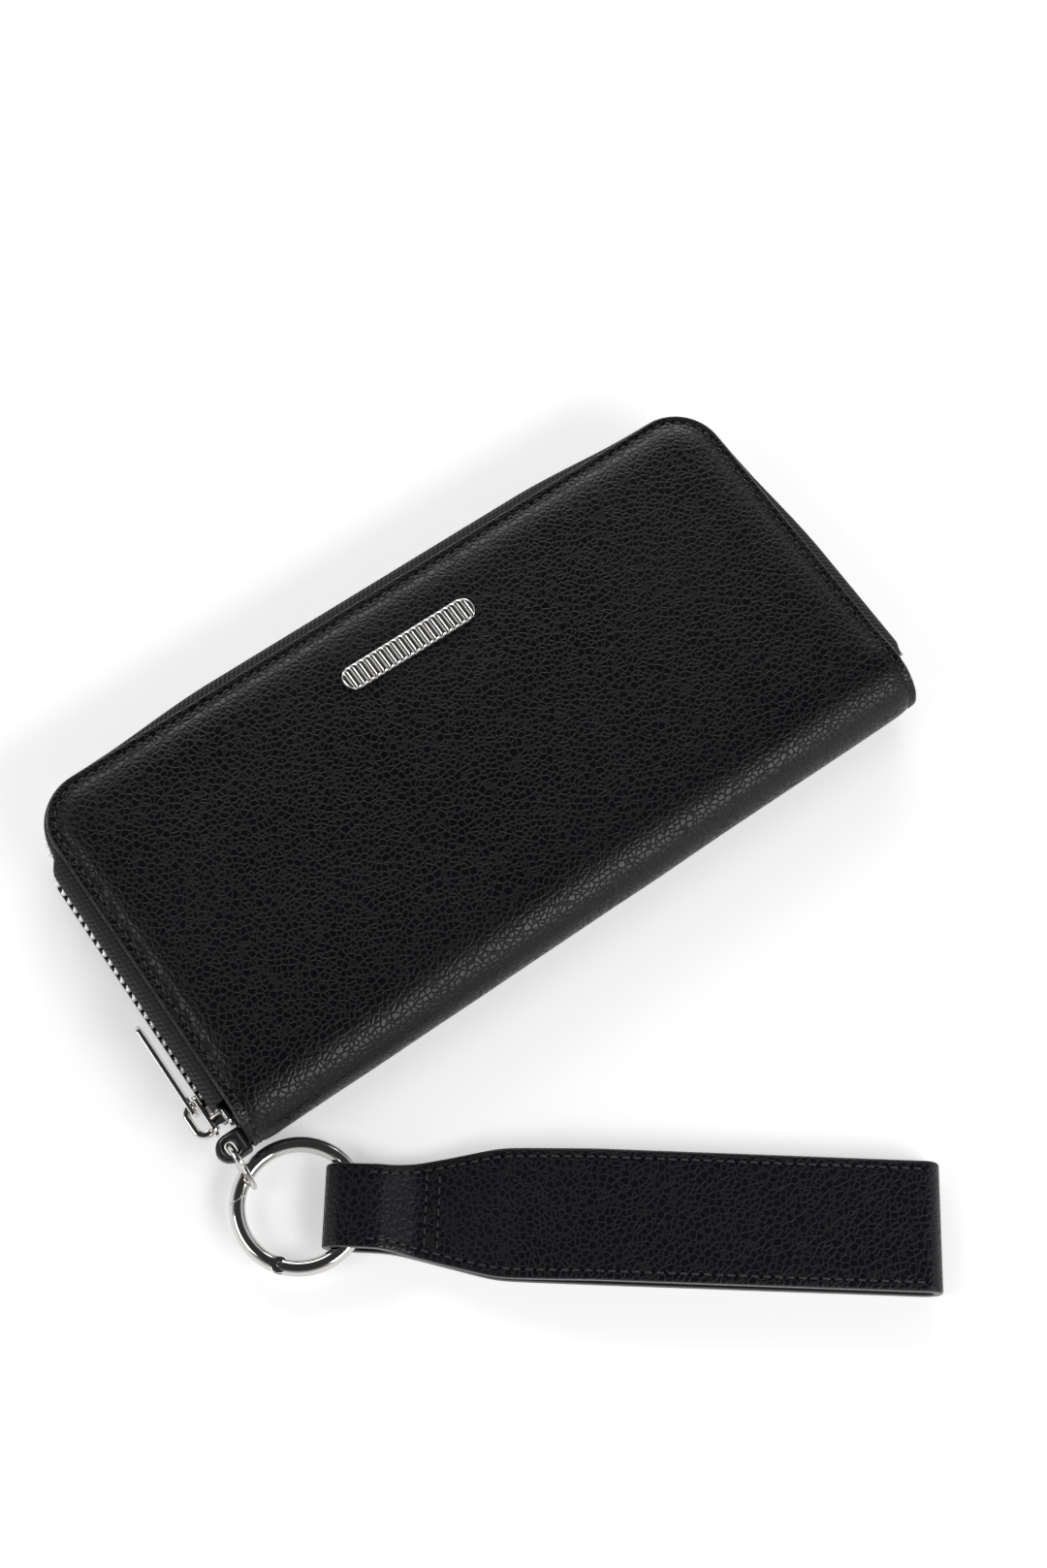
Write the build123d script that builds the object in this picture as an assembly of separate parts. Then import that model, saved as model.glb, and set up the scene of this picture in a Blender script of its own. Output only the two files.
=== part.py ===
"""Zip-around wristlet wallet with a carry ring and a folded leather wrist strap.

Frame: X runs along the spine, Y from the spine to the long zip side, Z up.
The origin is the centre of the resting face under the back cover.
"""
from build123d import *
import os
from math import cos, degrees, pi, radians, sin, sqrt

# ---------------------------------------------------------------- driving dimensions, mm
wallet_length = 195.0        # along the spine
wallet_depth = 97.0          # spine nose to the long zip-side edge
wallet_thickness = 22.0      # closed, over both covers
corner_radius = 12.5         # the two corners on the zip side

leather = 1.2                # cover leather
spine_leather_wall = 1.4
spine_lining_wall = 0.5
rim_width = 3.8              # flat sewn rim round each cover
rim_leather = 3.8            # rim's full thickness: leather turned over the board's edge
rim_drop = 1.6               # the rim lies this far below the padded crown
crown_shoulder = 0.4         # straight step where the padding starts
crown_slope = 6.0            # width of the padded slope
shoulder_leather = 0.4       # leather left over the padding's shoulder
board = 1.0                  # stiffening board
lining = 0.4
turned_edge = 3.0            # leather turned in at the spine fold
fold_gap = 0.3               # between the front cover and the spine
assembly_gap = 0.1           # around padding and board

thread = 0.5                 # stitching thread width
thread_rise = 0.2
stitch_inset = 1.9           # from the cover edge

tape = 0.5                   # zip tape thickness
tape_lap = 3.4               # tape sewn under the rim
zip_bulge = 3.2              # teeth stand this far outside the cover edge
tape_rise = 2.2              # height over which the tape leans out
tooth_width = 2.4
tooth_length = 1.35
tooth_height = 1.75
tooth_pitch = 2.6
row_gap = 0.9                # between the two rows of teeth
stop_length = 2.2
zip_start = 0.5              # tape ends start this far from the spine fold
tape_end_inset = 0.6         # turned-in tape ends, from the spine's ends
tape_end_thickness = 3.0

slider_length = 10.4
slider_half_width = 3.2
slider_plate = 1.0
slider_round = 1.6
slider_clear = 0.3           # slider plates to teeth
slider_web = 0.6             # web that runs between the two rows
slider_web_length = 3.2
slider_lip = 0.7
slider_rest_gap = 0.6        # slider to keeper loop
bridge_reach = 4.0           # the slider's bridge stands out this far
bridge_bar = 1.7
bridge_length = 9.4
bridge_height = 2.2
bridge_round = 3.0

tab_length = 25.2
tab_width = 5.0
tab_thickness = 1.0
tab_arm = 1.0
tab_slot = 4.3               # cross bar to the end of the slot
tab_round = 1.6
tab_bar_gap = 1.1            # tab's pivot to the inside of the bridge
tab_lean = -10.0             # the hanging tab leans outwards at its upper edge, degrees

keeper_width = 3.0           # leather strip, measured along Z
keeper_strip = 1.2
keeper_round = 1.92
keeper_hole_x = 5.5
keeper_hole_y = 4.2
keeper_past_spine = 0.1      # the wall that carries the link, past the spine's nose
keeper_below_middle = 1.5
keeper_tail = 4.0
keeper_tail_width = 3.5

link_wire = 1.6
link_inner = 2.4             # inner radius of the link's two ends
link_outside = 4.5           # link's plane, outside the cover's end

ring_from_link = 6.1         # ring centre from the link's plane, along the spine
ring_from_spine = 15.7       # ring centre from the spine's nose
ring_mean_radius = 14.2
ring_wire = 3.8
gate_hinge_angle = 218.0     # degrees round the ring
gate_latch_angle = 141.0
gate_nose = 16.0             # degrees each side of the latch that the slanted cut may take
gate_gap = 0.3
gate_pin_radius = 0.6
gate_pin_clear = 0.05
gate_tongue = 1.2
gate_slot_clear = 0.15
gate_ear_inset = 0.05        # the hinge ears stop this far inside the wire
gate_ear_height = 3.04
gate_ear_gap = 0.255         # ring body starts this far past the hinge, along the wire
gate_pin_fit = 0.02          # pin in the two ears
gate_tongue_clear = 0.25     # tongue's round end inside the ears
gate_tongue_reach = 1.4      # tongue runs on into the gate
gate_tongue_width = 1.9
gate_tongue_turn = 4.0       # degrees
gate_spring_radius = 0.5
gate_spring_length = 3.4
gate_spring_clear = 0.05
gate_spring_gap = 0.1
gate_bore_spare = 2.0        # bore longer than the spring

strap_angle = -37.0          # the strap's direction in plan, degrees
strap_length = 142.0         # folded length, ring end to far fold
strap_width = 30.0
strap_ring_width = 19.0
strap_leather = 1.2
strap_lining = 0.8
ring_clear = 0.25            # ring wire to the strap's loop, above and below
strap_taper_start = 16.0
strap_taper_end = 40.0
strap_bend = 14.0            # plan radius where the strap widens
ring_pocket_end = 12.5       # where the loop round the ring starts to close
pinch_start = 21.0           # both layers are sewn together from here
pinch_end = 28.5             # to here
wrist_gap = 4.4              # between the layers of the wrist loop
wrist_gap_start = 62.0
nose_bend = 6.0              # side-view radii where the loop closes
pinch_bend = 12.0            # and where the layers part again
wrist_bend = 30.0
pocket_bend = 3.0
flat_end = 0.02              # left flat in the middle of each rounded end
strap_stitch_inset = 2.0

badge_length = 38.0
badge_width = 6.5
badge_thickness = 1.2
badge_corner = 0.2           # short of a full round end
badge_bevel = 0.3
badge_from_edge = 17.2       # plain metal bar, from the long zip-side edge
badge_x = -0.4

bill_pocket = 0.4
card_slot = 0.3
card_slot_count = 4
card_slot_step = 9.0
card_margin = 3.0            # card slots stop this far inside the bill pocket's ends
bill_margin = 2.0            # bill pocket to gussets
card_edge_gap = 12.5         # highest card slot from the long zip-side edge
card_foot = 2.0              # card slots start this far from the fold
card_corner = 2.0

gusset = 0.4
gusset_width = 9.4
gusset_inset = 4.1           # gusset's outer edge from the cover's edge
gusset_depth = 46.0          # gussets reach this far from the fold
gusset_foot = 1.0            # and start this far from it

pouch_wall = 0.5
pouch_inside = 4.2           # coin pocket, between its two walls
pouch_side = 9.5             # pouch side from the cover's end
pouch_mouth_gap = 18.5       # pouch mouth from the long zip-side edge
pouch_foot = 1.0
coin_tape = 0.4
coin_tape_depth = 1.6
coin_tape_gap = 0.9          # each tape's edge from the middle
coin_tape_margin = 4.0       # tapes stop this far inside the pouch
coin_teeth_margin = 8.0
coin_tooth_pitch = 2.6
coin_tooth = 1.3
coin_tooth_share = 0.4       # tooth's share of the pitch
coin_tooth_height = 1.5
coin_tooth_stagger = 0.35
coin_slider_length = 8.0
coin_slider_width = 4.6
coin_slider_plate = 0.7
coin_slider_start = 10.0     # slider's middle from the pouch side
coin_arch_inset = 0.8
coin_arch_height = 2.4
coin_arch_half = 0.8
coin_arch_bar = 1.0
coin_tab_length = 16.0
coin_tab_width = 4.0
coin_tab_thickness = 0.7
coin_tab_lift = 0.4          # tab above the slider's plate
coin_tab_hook = 3.1          # tab's end inside the slider's end
coin_tab_bar = 0.8
coin_tab_slot = 3.4
coin_tab_slot_half = 1.1

through = 1.0                # cuts run this far past the faces they open

# ---------------------------------------------------------------- derived places
half_length = wallet_length / 2
half_depth = wallet_depth / 2
mid_z = wallet_thickness / 2
spine_radius = wallet_thickness / 2
fold_y = -half_depth + spine_radius
cover_depth = rim_drop + rim_leather            # outer face to inner face of a cover
lining_top = cover_depth + lining
tooth_bottom = mid_z - row_gap / 2 - tooth_height
tape_fold = tape / 3                            # the tape turns upright over this height
strap_wall = strap_leather + strap_lining
ring_z = strap_wall + ring_clear + ring_wire / 2
ring_inner = ring_mean_radius - ring_wire / 2
link_tube = link_wire / 2
spine_inside = spine_radius - spine_leather_wall - spine_lining_wall

keeper_nose_y = -half_depth - keeper_past_spine
keeper_mid_z = mid_z - keeper_below_middle
link_x = -half_length - link_outside
ring_x = link_x + ring_from_link
ring_y = -half_depth - ring_from_spine
pouch_half_width = half_length - pouch_side
pouch_mouth = half_depth - pouch_mouth_gap
card_top = half_depth - card_edge_gap
badge_y = half_depth - badge_from_edge
bill_width = 2 * (half_length - gusset_inset - gusset_width - bill_margin)
card_width = bill_width - 2 * card_margin

left = -1
right = 1
os.makedirs("parts", exist_ok=True)


def save(name, *solids):
    """Write one named sub-part, as one solid or a group of separate solids."""
    pieces = [solid for piece in solids for solid in piece.solids()]
    shape = pieces[0] if len(pieces) == 1 else Compound(children=pieces)
    export_step(shape, f"parts/{name}.step")


def block(x0, x1, y0, y1, z0, z1):
    """A box between two corners."""
    size = Box(abs(x1 - x0), abs(y1 - y0), abs(z1 - z0))
    return Pos((x0 + x1) / 2, (y0 + y1) / 2, (z0 + z1) / 2) * size


def to_front(shape):
    """The same piece on the front cover: mirrored about the wallet's middle plane."""
    return mirror(shape, about=Plane.XY.offset(mid_z))


# ---------------------------------------------------------------- covers
def cover_outline(inset, start):
    """Cover in plan, drawn in by inset on the three sewn sides, from y = start."""
    width = wallet_length - 2 * inset
    end = half_depth - inset
    face = Pos(0, (start + end) / 2) * Rectangle(width, end - start)
    return fillet(face.vertices().group_by(Axis.Y)[-1], corner_radius - inset)


def slab(inset, start, low, high):
    """Flat plate of the cover's outline between two heights."""
    return Pos(0, 0, low) * extrude(cover_outline(inset, start), high - low)


def crown(inset, start, outer, shoulder, slope):
    """Padded slope: a ruled frustum from the shoulder out to the outer face."""
    wide = Pos(0, 0, shoulder) * cover_outline(inset, start)
    narrow = Pos(0, 0, outer) * cover_outline(inset + slope, start)
    return loft([narrow, wide], ruled=True)


def cover_leather(start):
    """Cover leather: sewn rim and padded crown, hollow for padding and board."""
    shoulder = rim_drop - crown_shoulder
    rim = slab(0, start, rim_drop, cover_depth)
    step = slab(rim_width, start, shoulder, rim_drop)
    skin = rim + step + crown(rim_width, start, 0, shoulder, crown_slope)
    inside = rim_width + leather
    inner_start = start + turned_edge
    inner_shoulder = shoulder + shoulder_leather
    hollow = slab(inside, inner_start, inner_shoulder, cover_depth)
    hollow += crown(inside, inner_start, leather, inner_shoulder, crown_slope)
    return skin - hollow


def cover_foam(start):
    """Padding, crowned like the leather over it."""
    inside = rim_width + leather + assembly_gap
    inner_start = start + turned_edge + assembly_gap
    inner_shoulder = rim_drop - crown_shoulder + shoulder_leather + assembly_gap
    pad = slab(inside, inner_start, inner_shoulder, cover_depth - board)
    return pad + crown(inside, inner_start, leather, inner_shoulder, crown_slope)


def cover_board(start):
    """Stiffening board between padding and lining."""
    inset = rim_width + leather + assembly_gap
    return slab(inset, start + turned_edge + assembly_gap, cover_depth - board, cover_depth)


def cover_lining(start):
    """Inner lining, drawn in to make room for the zip tape's lap."""
    return slab(tape_lap + assembly_gap, start, cover_depth, lining_top)


def cover_stitching(start):
    """Thread line round the sewn rim, standing just proud of it."""
    outer = slab(stitch_inset - thread / 2, start, rim_drop - thread_rise, rim_drop)
    inner = slab(stitch_inset + thread / 2, start, rim_drop - thread_rise, rim_drop)
    return outer - inner


# ---------------------------------------------------------------- spine
def spine_shell(outer, inner):
    """Half-round shell along the spine."""
    ring = Circle(outer) - Circle(inner)
    half = ring & (Pos(-outer, 0) * Rectangle(2 * outer, 2 * outer))
    section = Plane(origin=(-half_length, fold_y, mid_z), x_dir=(0, 1, 0), z_dir=(1, 0, 0)) * half
    return extrude(section, wallet_length, dir=(1, 0, 0))


def tape_end(side):
    """Turned-in end of the zip tape, sewn into one end of the spine."""
    half = Circle(spine_inside) & (Pos(-spine_inside, 0) * Rectangle(2 * spine_inside, 2 * spine_inside))
    inner_x = side * (half_length - tape_end_inset - tape_end_thickness)
    low_x = min(inner_x, inner_x + side * tape_end_thickness)
    section = Plane(origin=(low_x, fold_y, mid_z), x_dir=(0, 1, 0), z_dir=(1, 0, 0)) * half
    plug = extrude(section, tape_end_thickness, dir=(1, 0, 0))
    return plug - keeper_tail_block() if side == left else plug


# ---------------------------------------------------------------- keeper loop
keeper_far_y = keeper_nose_y + 2 * keeper_strip + keeper_hole_y
keeper_wall_y = keeper_nose_y + keeper_strip / 2      # mid of the wall that carries the link
keeper_low = keeper_mid_z - keeper_width / 2
keeper_high = keeper_mid_z + keeper_width / 2


def keeper_tail_block():
    """Tail of the keeper loop, sewn into the spine's end."""
    low_y = keeper_far_y - keeper_tail_width
    return block(-half_length - assembly_gap, -half_length + keeper_tail,
                 low_y, keeper_far_y, keeper_low, keeper_high)


def keeper_loop():
    """Small leather loop beside the end of the zip."""
    near_x = -half_length - assembly_gap
    far_x = near_x - keeper_hole_x - 2 * keeper_strip
    loop = block(far_x, near_x, keeper_nose_y, keeper_far_y, keeper_low, keeper_high)
    corners = loop.edges().filter_by(Axis.Z).group_by(Axis.X)[0]
    loop = fillet(corners, keeper_round)
    hole = block(far_x + keeper_strip, near_x - keeper_strip, keeper_nose_y + keeper_strip,
                 keeper_far_y - keeper_strip, keeper_low - through, keeper_high + through)
    return loop - hole + keeper_tail_block()


# ---------------------------------------------------------------- main zip
def zip_path(offset):
    """U-shaped line round the three open sides, offset outwards from the cover's edge."""
    start = fold_y + zip_start
    reach = half_length + offset
    far = half_depth + offset
    turn = corner_radius + offset
    bend = turn * (1 - cos(pi / 4))
    return Wire([
        Line((-reach, start), (-reach, far - turn)),
        ThreePointArc((-reach, far - turn), (-reach + bend, far - bend), (-reach + turn, far)),
        Line((-reach + turn, far), (reach - turn, far)),
        ThreePointArc((reach - turn, far), (reach - bend, far - bend), (reach, far - turn)),
        Line((reach, far - turn), (reach, start)),
    ])


def zip_tape():
    """Back tape: sewn under the rim, leaning out and up to its row of teeth."""
    half = tape / 2
    top = cover_depth + tape_rise
    profile = Polyline(
        (-tape_lap, cover_depth), (0, cover_depth), (zip_bulge + half, top),
        (zip_bulge + half, tooth_bottom), (zip_bulge - half, tooth_bottom),
        (zip_bulge - half, top + tape_fold), (0, lining_top), (-tape_lap, lining_top), close=True)
    start = Plane(origin=(-half_length, fold_y + zip_start, 0), x_dir=(-1, 0, 0), z_dir=(0, 1, 0))
    return sweep(start * make_face(profile), path=zip_path(0))


def zip_teeth(stagger):
    """One row of separate metal teeth; stagger shifts it by a share of the pitch."""
    path = zip_path(zip_bulge)
    room = path.length - 2 * (stop_length + tooth_pitch)
    count = int(room / tooth_pitch)
    first = stop_length + tooth_pitch / 2 + stagger * tooth_pitch
    tooth = Box(tooth_length, tooth_width, tooth_height)
    middle = tooth_bottom + tooth_height / 2
    teeth = []
    for i in range(count):
        share = (first + i * tooth_pitch) / path.length
        spot = path.position_at(share)
        along = path.tangent_at(share)
        teeth.append(Plane(origin=(spot.X, spot.Y, middle), x_dir=along, z_dir=(0, 0, 1)) * tooth)
    return teeth


def zip_stops():
    """Metal stops at both ends of one row of teeth."""
    start = fold_y + zip_start
    low = tooth_bottom
    high = tooth_bottom + tooth_height
    stops = []
    for side in (left, right):
        inner = side * (half_length + zip_bulge - tooth_width / 2)
        outer = side * (half_length + zip_bulge + tooth_width / 2)
        stops.append(block(inner, outer, start, start + stop_length, low, high))
    return stops


# ---------------------------------------------------------------- main zip slider and its tab
slider_y0 = keeper_far_y + slider_rest_gap
slider_y1 = slider_y0 + slider_length
plate_out = half_length + zip_bulge + tooth_width / 2 + slider_clear      # outer plate's inner face
plate_in = half_length + zip_bulge - tooth_width / 2 - slider_clear       # inner plate's outer face
bridge_y0 = slider_y0 + (slider_length - bridge_length) / 2
bridge_y1 = bridge_y0 + bridge_length
tab_axis_x = -(plate_out + slider_plate + (bridge_reach - bridge_bar) / 2)
tab_axis_y = bridge_y1 - bridge_bar - tab_bar_gap


def slider_body():
    """Zip slider: two plates joined by a thin web between the rows, hooked under the back row."""
    low = mid_z - slider_half_width
    high = mid_z + slider_half_width
    outer = block(-plate_out - slider_plate, -plate_out, slider_y0, slider_y1, low, high)
    outer = fillet(outer.edges().filter_by(Axis.X), slider_round)
    inner = block(-plate_in, -plate_in + slider_plate, slider_y0, slider_y1, low, high)
    inner = fillet(inner.edges().filter_by(Axis.X), slider_round)
    web = block(-plate_out, -plate_in, slider_y0 + slider_round,
                slider_y0 + slider_round + slider_web_length,
                mid_z - slider_web / 2, mid_z + slider_web / 2)
    lip_top = tooth_bottom - slider_clear
    lip_reach = (plate_out - plate_in - tape) / 2 - slider_clear
    lip_y0 = slider_y0 + slider_round
    lip_y1 = slider_y1 - slider_round
    outer_lip = block(-plate_out, -plate_out + lip_reach, lip_y0, lip_y1, low, min(low + slider_lip, lip_top))
    inner_lip = block(-plate_in - lip_reach, -plate_in, lip_y0, lip_y1, low, min(low + slider_lip, lip_top))
    return outer + inner + web + outer_lip + inner_lip


def slider_bridge():
    """Arched bridge on the slider's outer plate, which carries the tab."""
    base = -plate_out - slider_plate
    low = mid_z - bridge_height / 2
    high = mid_z + bridge_height / 2
    arch = block(base - bridge_reach, base, bridge_y0, bridge_y1, low, high)
    arch = fillet(arch.edges().filter_by(Axis.Z).group_by(Axis.X)[0], bridge_round)
    hole = block(base - bridge_reach + bridge_bar, base, bridge_y0 + bridge_bar,
                 bridge_y1 - bridge_bar, low - through, high + through)
    round_edges = hole.edges().filter_by(Axis.Z).group_by(Axis.X)[0]
    return arch - fillet(round_edges, bridge_round - bridge_bar)


def pull_tab():
    """Flat pull tab; its slotted end closes round the bridge with a cross bar."""
    y0 = tab_axis_y - tab_arm / 2
    half = tab_thickness / 2
    plate = block(tab_axis_x - half, tab_axis_x + half, y0, y0 + tab_length,
                  mid_z - tab_width / 2, mid_z + tab_width / 2)
    plate = fillet(plate.edges().filter_by(Axis.X).group_by(Axis.Y)[-1], tab_round)
    slot_half = tab_width / 2 - tab_arm
    slot = block(tab_axis_x - through, tab_axis_x + through, y0 + tab_arm, tab_axis_y + tab_slot,
                 mid_z - slot_half, mid_z + slot_half)
    return (plate - slot).rotate(Axis((tab_axis_x, tab_axis_y, mid_z), (0, 1, 0)), tab_lean)


# ---------------------------------------------------------------- oval link
def oval_link():
    """Wire link from the keeper loop down to the carry ring."""
    crossing_y = ring_y + sqrt(ring_mean_radius**2 - ring_from_link**2)
    run = Vector(0, crossing_y - keeper_wall_y, ring_z - keeper_mid_z)
    middle = Vector(link_x, (crossing_y + keeper_wall_y) / 2, (ring_z + keeper_mid_z) / 2)
    mean = link_inner + link_tube
    frame = Plane(origin=middle, x_dir=run.normalized(), z_dir=(1, 0, 0))
    path = (frame * SlotCenterToCenter(run.length, 2 * mean)).wire()
    start = Plane(origin=path.position_at(0), z_dir=path.tangent_at(0))
    return sweep(start * Circle(link_tube), path=path)


# ---------------------------------------------------------------- carry ring with spring gate
def ring_point(angle, radius=ring_mean_radius):
    """A point round the ring, at its mid height."""
    return Vector(ring_x + radius * cos(radians(angle)), ring_y + radius * sin(radians(angle)), ring_z)


def ring_arc(start, end):
    """A stretch of the ring's wire, in degrees."""
    section = Plane(origin=ring_point(start), x_dir=(cos(radians(start)), sin(radians(start)), 0),
                    z_dir=(-sin(radians(start)), cos(radians(start)), 0))
    face = section * Circle(ring_wire / 2)
    axis = Axis((ring_x, ring_y, ring_z), (0, 0, 1))
    return revolve(face, axis, end - start)


gate_hinge = ring_point(gate_hinge_angle)
gate_reach = (ring_point(gate_latch_angle) - gate_hinge).length
gate_ear = ring_wire / 2 - gate_ear_inset
gate_start = degrees(2 * gate_ear_gap / ring_mean_radius)


def post(centre, radius, height):
    """Upright cylinder centred on a point."""
    return Pos(centre.X, centre.Y, centre.Z) * Cylinder(radius, height)


def along_ring(spot, heading, length, width, height):
    """A box that starts at a point and runs off in one direction in plan."""
    return Pos(spot.X, spot.Y, spot.Z) * Rot(0, 0, heading) * Pos(length / 2, 0, 0) * Box(length, width, height)


def ring_body():
    """Ring body: forked for the gate's hinge, cut on the gate's swing at the latch."""
    main = ring_arc(gate_hinge_angle + gate_start, 360 + gate_latch_angle - gate_nose)
    nose = ring_arc(gate_latch_angle - gate_nose, gate_latch_angle + gate_nose)
    nose -= post(gate_hinge, gate_reach + gate_gap / 2, 4 * ring_wire)
    ears = post(gate_hinge, gate_ear, gate_ear_height)
    slot_height = gate_tongue + 2 * gate_slot_clear
    slot = post(gate_hinge, gate_ear + gate_gap, slot_height)
    bore_width = 2 * (gate_spring_radius + gate_spring_clear)
    bore = along_ring(gate_hinge, gate_hinge_angle + 90, gate_spring_length + gate_bore_spare,
                      bore_width, bore_width)
    pin_hole = post(gate_hinge, gate_pin_radius + gate_pin_fit, 2 * ring_wire)
    return main + nose + ears - slot - pin_hole - bore


def ring_gate():
    """Spring gate: swings in on its hinge pin."""
    arc = ring_arc(gate_latch_angle - gate_nose, gate_hinge_angle)
    arc &= post(gate_hinge, gate_reach - gate_gap / 2, 4 * ring_wire)
    arc -= post(gate_hinge, gate_ear + gate_gap, 4 * ring_wire)
    heading = gate_hinge_angle - 90
    tongue = post(gate_hinge, gate_ear - gate_tongue_clear, gate_tongue)
    tongue += along_ring(gate_hinge, heading - gate_tongue_turn, gate_ear + gate_tongue_reach,
                         gate_tongue_width, gate_tongue)
    hole = post(gate_hinge, gate_pin_radius + gate_pin_clear, 2 * ring_wire)
    return arc + tongue - hole


def gate_pin():
    """Hinge pin through the ring's two ears."""
    return post(gate_hinge, gate_pin_radius, gate_ear_height)


def gate_spring():
    """Closing spring in its bore behind the gate's tongue."""
    start = gate_ear + gate_spring_gap
    heading = radians(gate_hinge_angle + 90)
    middle = start + gate_spring_length / 2
    centre = gate_hinge + Vector(cos(heading), sin(heading), 0) * middle
    turn = Rot(0, 0, degrees(heading)) * Rot(0, 90, 0)
    return Pos(centre.X, centre.Y, centre.Z) * turn * Cylinder(gate_spring_radius, gate_spring_length)


# ---------------------------------------------------------------- wrist strap
nose_height = 2 * (strap_wall + ring_clear) + ring_wire
far_height = 2 * strap_wall + wrist_gap
pinch_height = 2 * strap_wall
nose_offset = sqrt(ring_inner**2 - (strap_ring_width / 2) ** 2) - ring_clear - strap_wall


def strap_place():
    """Strap frame: s along the strap from its ring end, across, and up."""
    heading = radians(strap_angle)
    start = (ring_x + nose_offset * cos(heading), ring_y + nose_offset * sin(heading), 0)
    return Plane(origin=start, x_dir=(cos(heading), sin(heading), 0), z_dir=(0, 0, 1))


def rounded(points, radii):
    """Closed outline with its own radius at each corner; 0 keeps a corner sharp."""
    face = make_face(Polyline(*points, close=True))
    for point, radius in zip(points, radii):
        if radius > 0:
            corner = face.vertices().sort_by_distance((point[0], point[1], 0))[0]
            face = fillet(corner, radius)
    return face


def strap_profile():
    """Outer side view of the folded strap: loop round the ring, sewn pinch, wrist loop."""
    points = [(0, 0), (0, nose_height), (ring_pocket_end, nose_height), (pinch_start, pinch_height),
              (pinch_end, pinch_height), (wrist_gap_start, far_height), (strap_length, far_height),
              (strap_length, 0)]
    nose = nose_height / 2 - flat_end
    far = far_height / 2 - flat_end
    return rounded(points, [nose, nose, nose_bend, nose_bend, pinch_bend, wrist_bend, far, far])


def ring_pocket():
    """Space inside the loop round the ring."""
    fall = (nose_height - pinch_height) / (pinch_start - ring_pocket_end)
    drop = strap_wall * sqrt(1 + fall**2)
    top = nose_height - strap_wall
    bend = ring_pocket_end + (nose_height - drop - top) / fall
    tip = ring_pocket_end + (nose_height - drop - strap_wall) / fall
    points = [(strap_wall, strap_wall), (strap_wall, top), (bend, top), (tip, strap_wall)]
    nose = (top - strap_wall) / 2 - flat_end
    return rounded(points, [nose, nose, pocket_bend, 0])


def wrist_pocket():
    """Space inside the wrist loop."""
    top = far_height - strap_wall
    end = strap_length - strap_wall
    climb = (far_height - pinch_height) / (wrist_gap_start - pinch_end)
    shift = strap_wall * (sqrt(1 + climb**2) - 1) / climb
    points = [(pinch_end + shift, strap_wall), (wrist_gap_start + shift, top), (end, top), (end, strap_wall)]
    far = (top - strap_wall) / 2 - flat_end
    return rounded(points, [0, wrist_bend, far, far])


def strap_plan(inset=0.0):
    """Strap in plan: narrow at the ring, widening to the wrist loop."""
    narrow = strap_ring_width / 2 - inset
    wide = strap_width / 2 - inset
    past = 1.0
    points = [(-past, -narrow), (strap_taper_start, -narrow), (strap_taper_end, -wide),
              (strap_length + past, -wide), (strap_length + past, wide), (strap_taper_end, wide),
              (strap_taper_start, narrow), (-past, narrow)]
    return rounded(points, [0, strap_bend, strap_bend, 0, 0, strap_bend, strap_bend, 0])


def strap_solid(profile, plan):
    """A side view carried across the strap and trimmed to its plan."""
    side = Plane(origin=(0, strap_width, 0), x_dir=(1, 0, 0), z_dir=(0, -1, 0)) * profile
    body = extrude(side, 2 * strap_width, dir=(0, -1, 0))
    trim = Pos(0, 0, -1) * extrude(plan, far_height + nose_height)
    return body & trim


def strap_pieces():
    """Outer leather, lining and edge stitching of the strap, in place."""
    outline = strap_profile()
    inner = offset(outline, -strap_leather, kind=Kind.INTERSECTION)
    plan = strap_plan()
    outer = strap_solid(outline - inner, plan)
    inside = strap_solid(inner - ring_pocket() - wrist_pocket(), plan)
    proud = offset(outline, thread_rise, kind=Kind.INTERSECTION) - outline
    seam = strap_plan(strap_stitch_inset - thread / 2) - strap_plan(strap_stitch_inset + thread / 2)
    upper = block(pinch_start / 2, strap_length - far_height / 2, -strap_width, strap_width,
                  strap_wall, 2 * far_height)
    threads = strap_solid(proud, seam) & upper
    bar_at = (pinch_start + pinch_end) / 2
    reach = strap_ring_width / 2 - strap_stitch_inset - thread
    bar = block(bar_at - thread, bar_at + thread, -reach, reach, pinch_height, pinch_height + thread_rise)
    place = strap_place()
    return place * outer, place * inside, place * (threads + bar)


# ---------------------------------------------------------------- inside: bills, cards, gussets
def bill_pocket_panel(start):
    """Full-width panel that makes the bill pocket against the lining."""
    return block(-bill_width / 2, bill_width / 2, start + card_foot, card_top + card_slot_step / 2,
                 lining_top, lining_top + bill_pocket)


def card_slot_panel(start, number):
    """One stepped card slot; number 0 lies lowest and reaches furthest."""
    low = lining_top + bill_pocket + number * card_slot
    top = card_top - number * card_slot_step
    sheet = block(-card_width / 2, card_width / 2, start + card_foot, top, low, low + card_slot)
    return fillet(sheet.edges().filter_by(Axis.Z).group_by(Axis.Y)[-1], card_corner)


def gusset_leaf(side, start, low):
    """One leaf of an accordion gusset, folded flat between cover and divider."""
    outer = side * (half_length - gusset_inset)
    inner = side * (half_length - gusset_inset - gusset_width)
    leaf = block(inner, outer, start, start + gusset_depth, low, low + gusset)
    return leaf


# ---------------------------------------------------------------- divider: zipped coin pocket
pouch_low = mid_z - pouch_inside / 2 - pouch_wall
pouch_high = mid_z + pouch_inside / 2 + pouch_wall
pouch_back = fold_y + fold_gap + pouch_foot
coin_chain_y = pouch_mouth + coin_tape_depth


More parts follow.
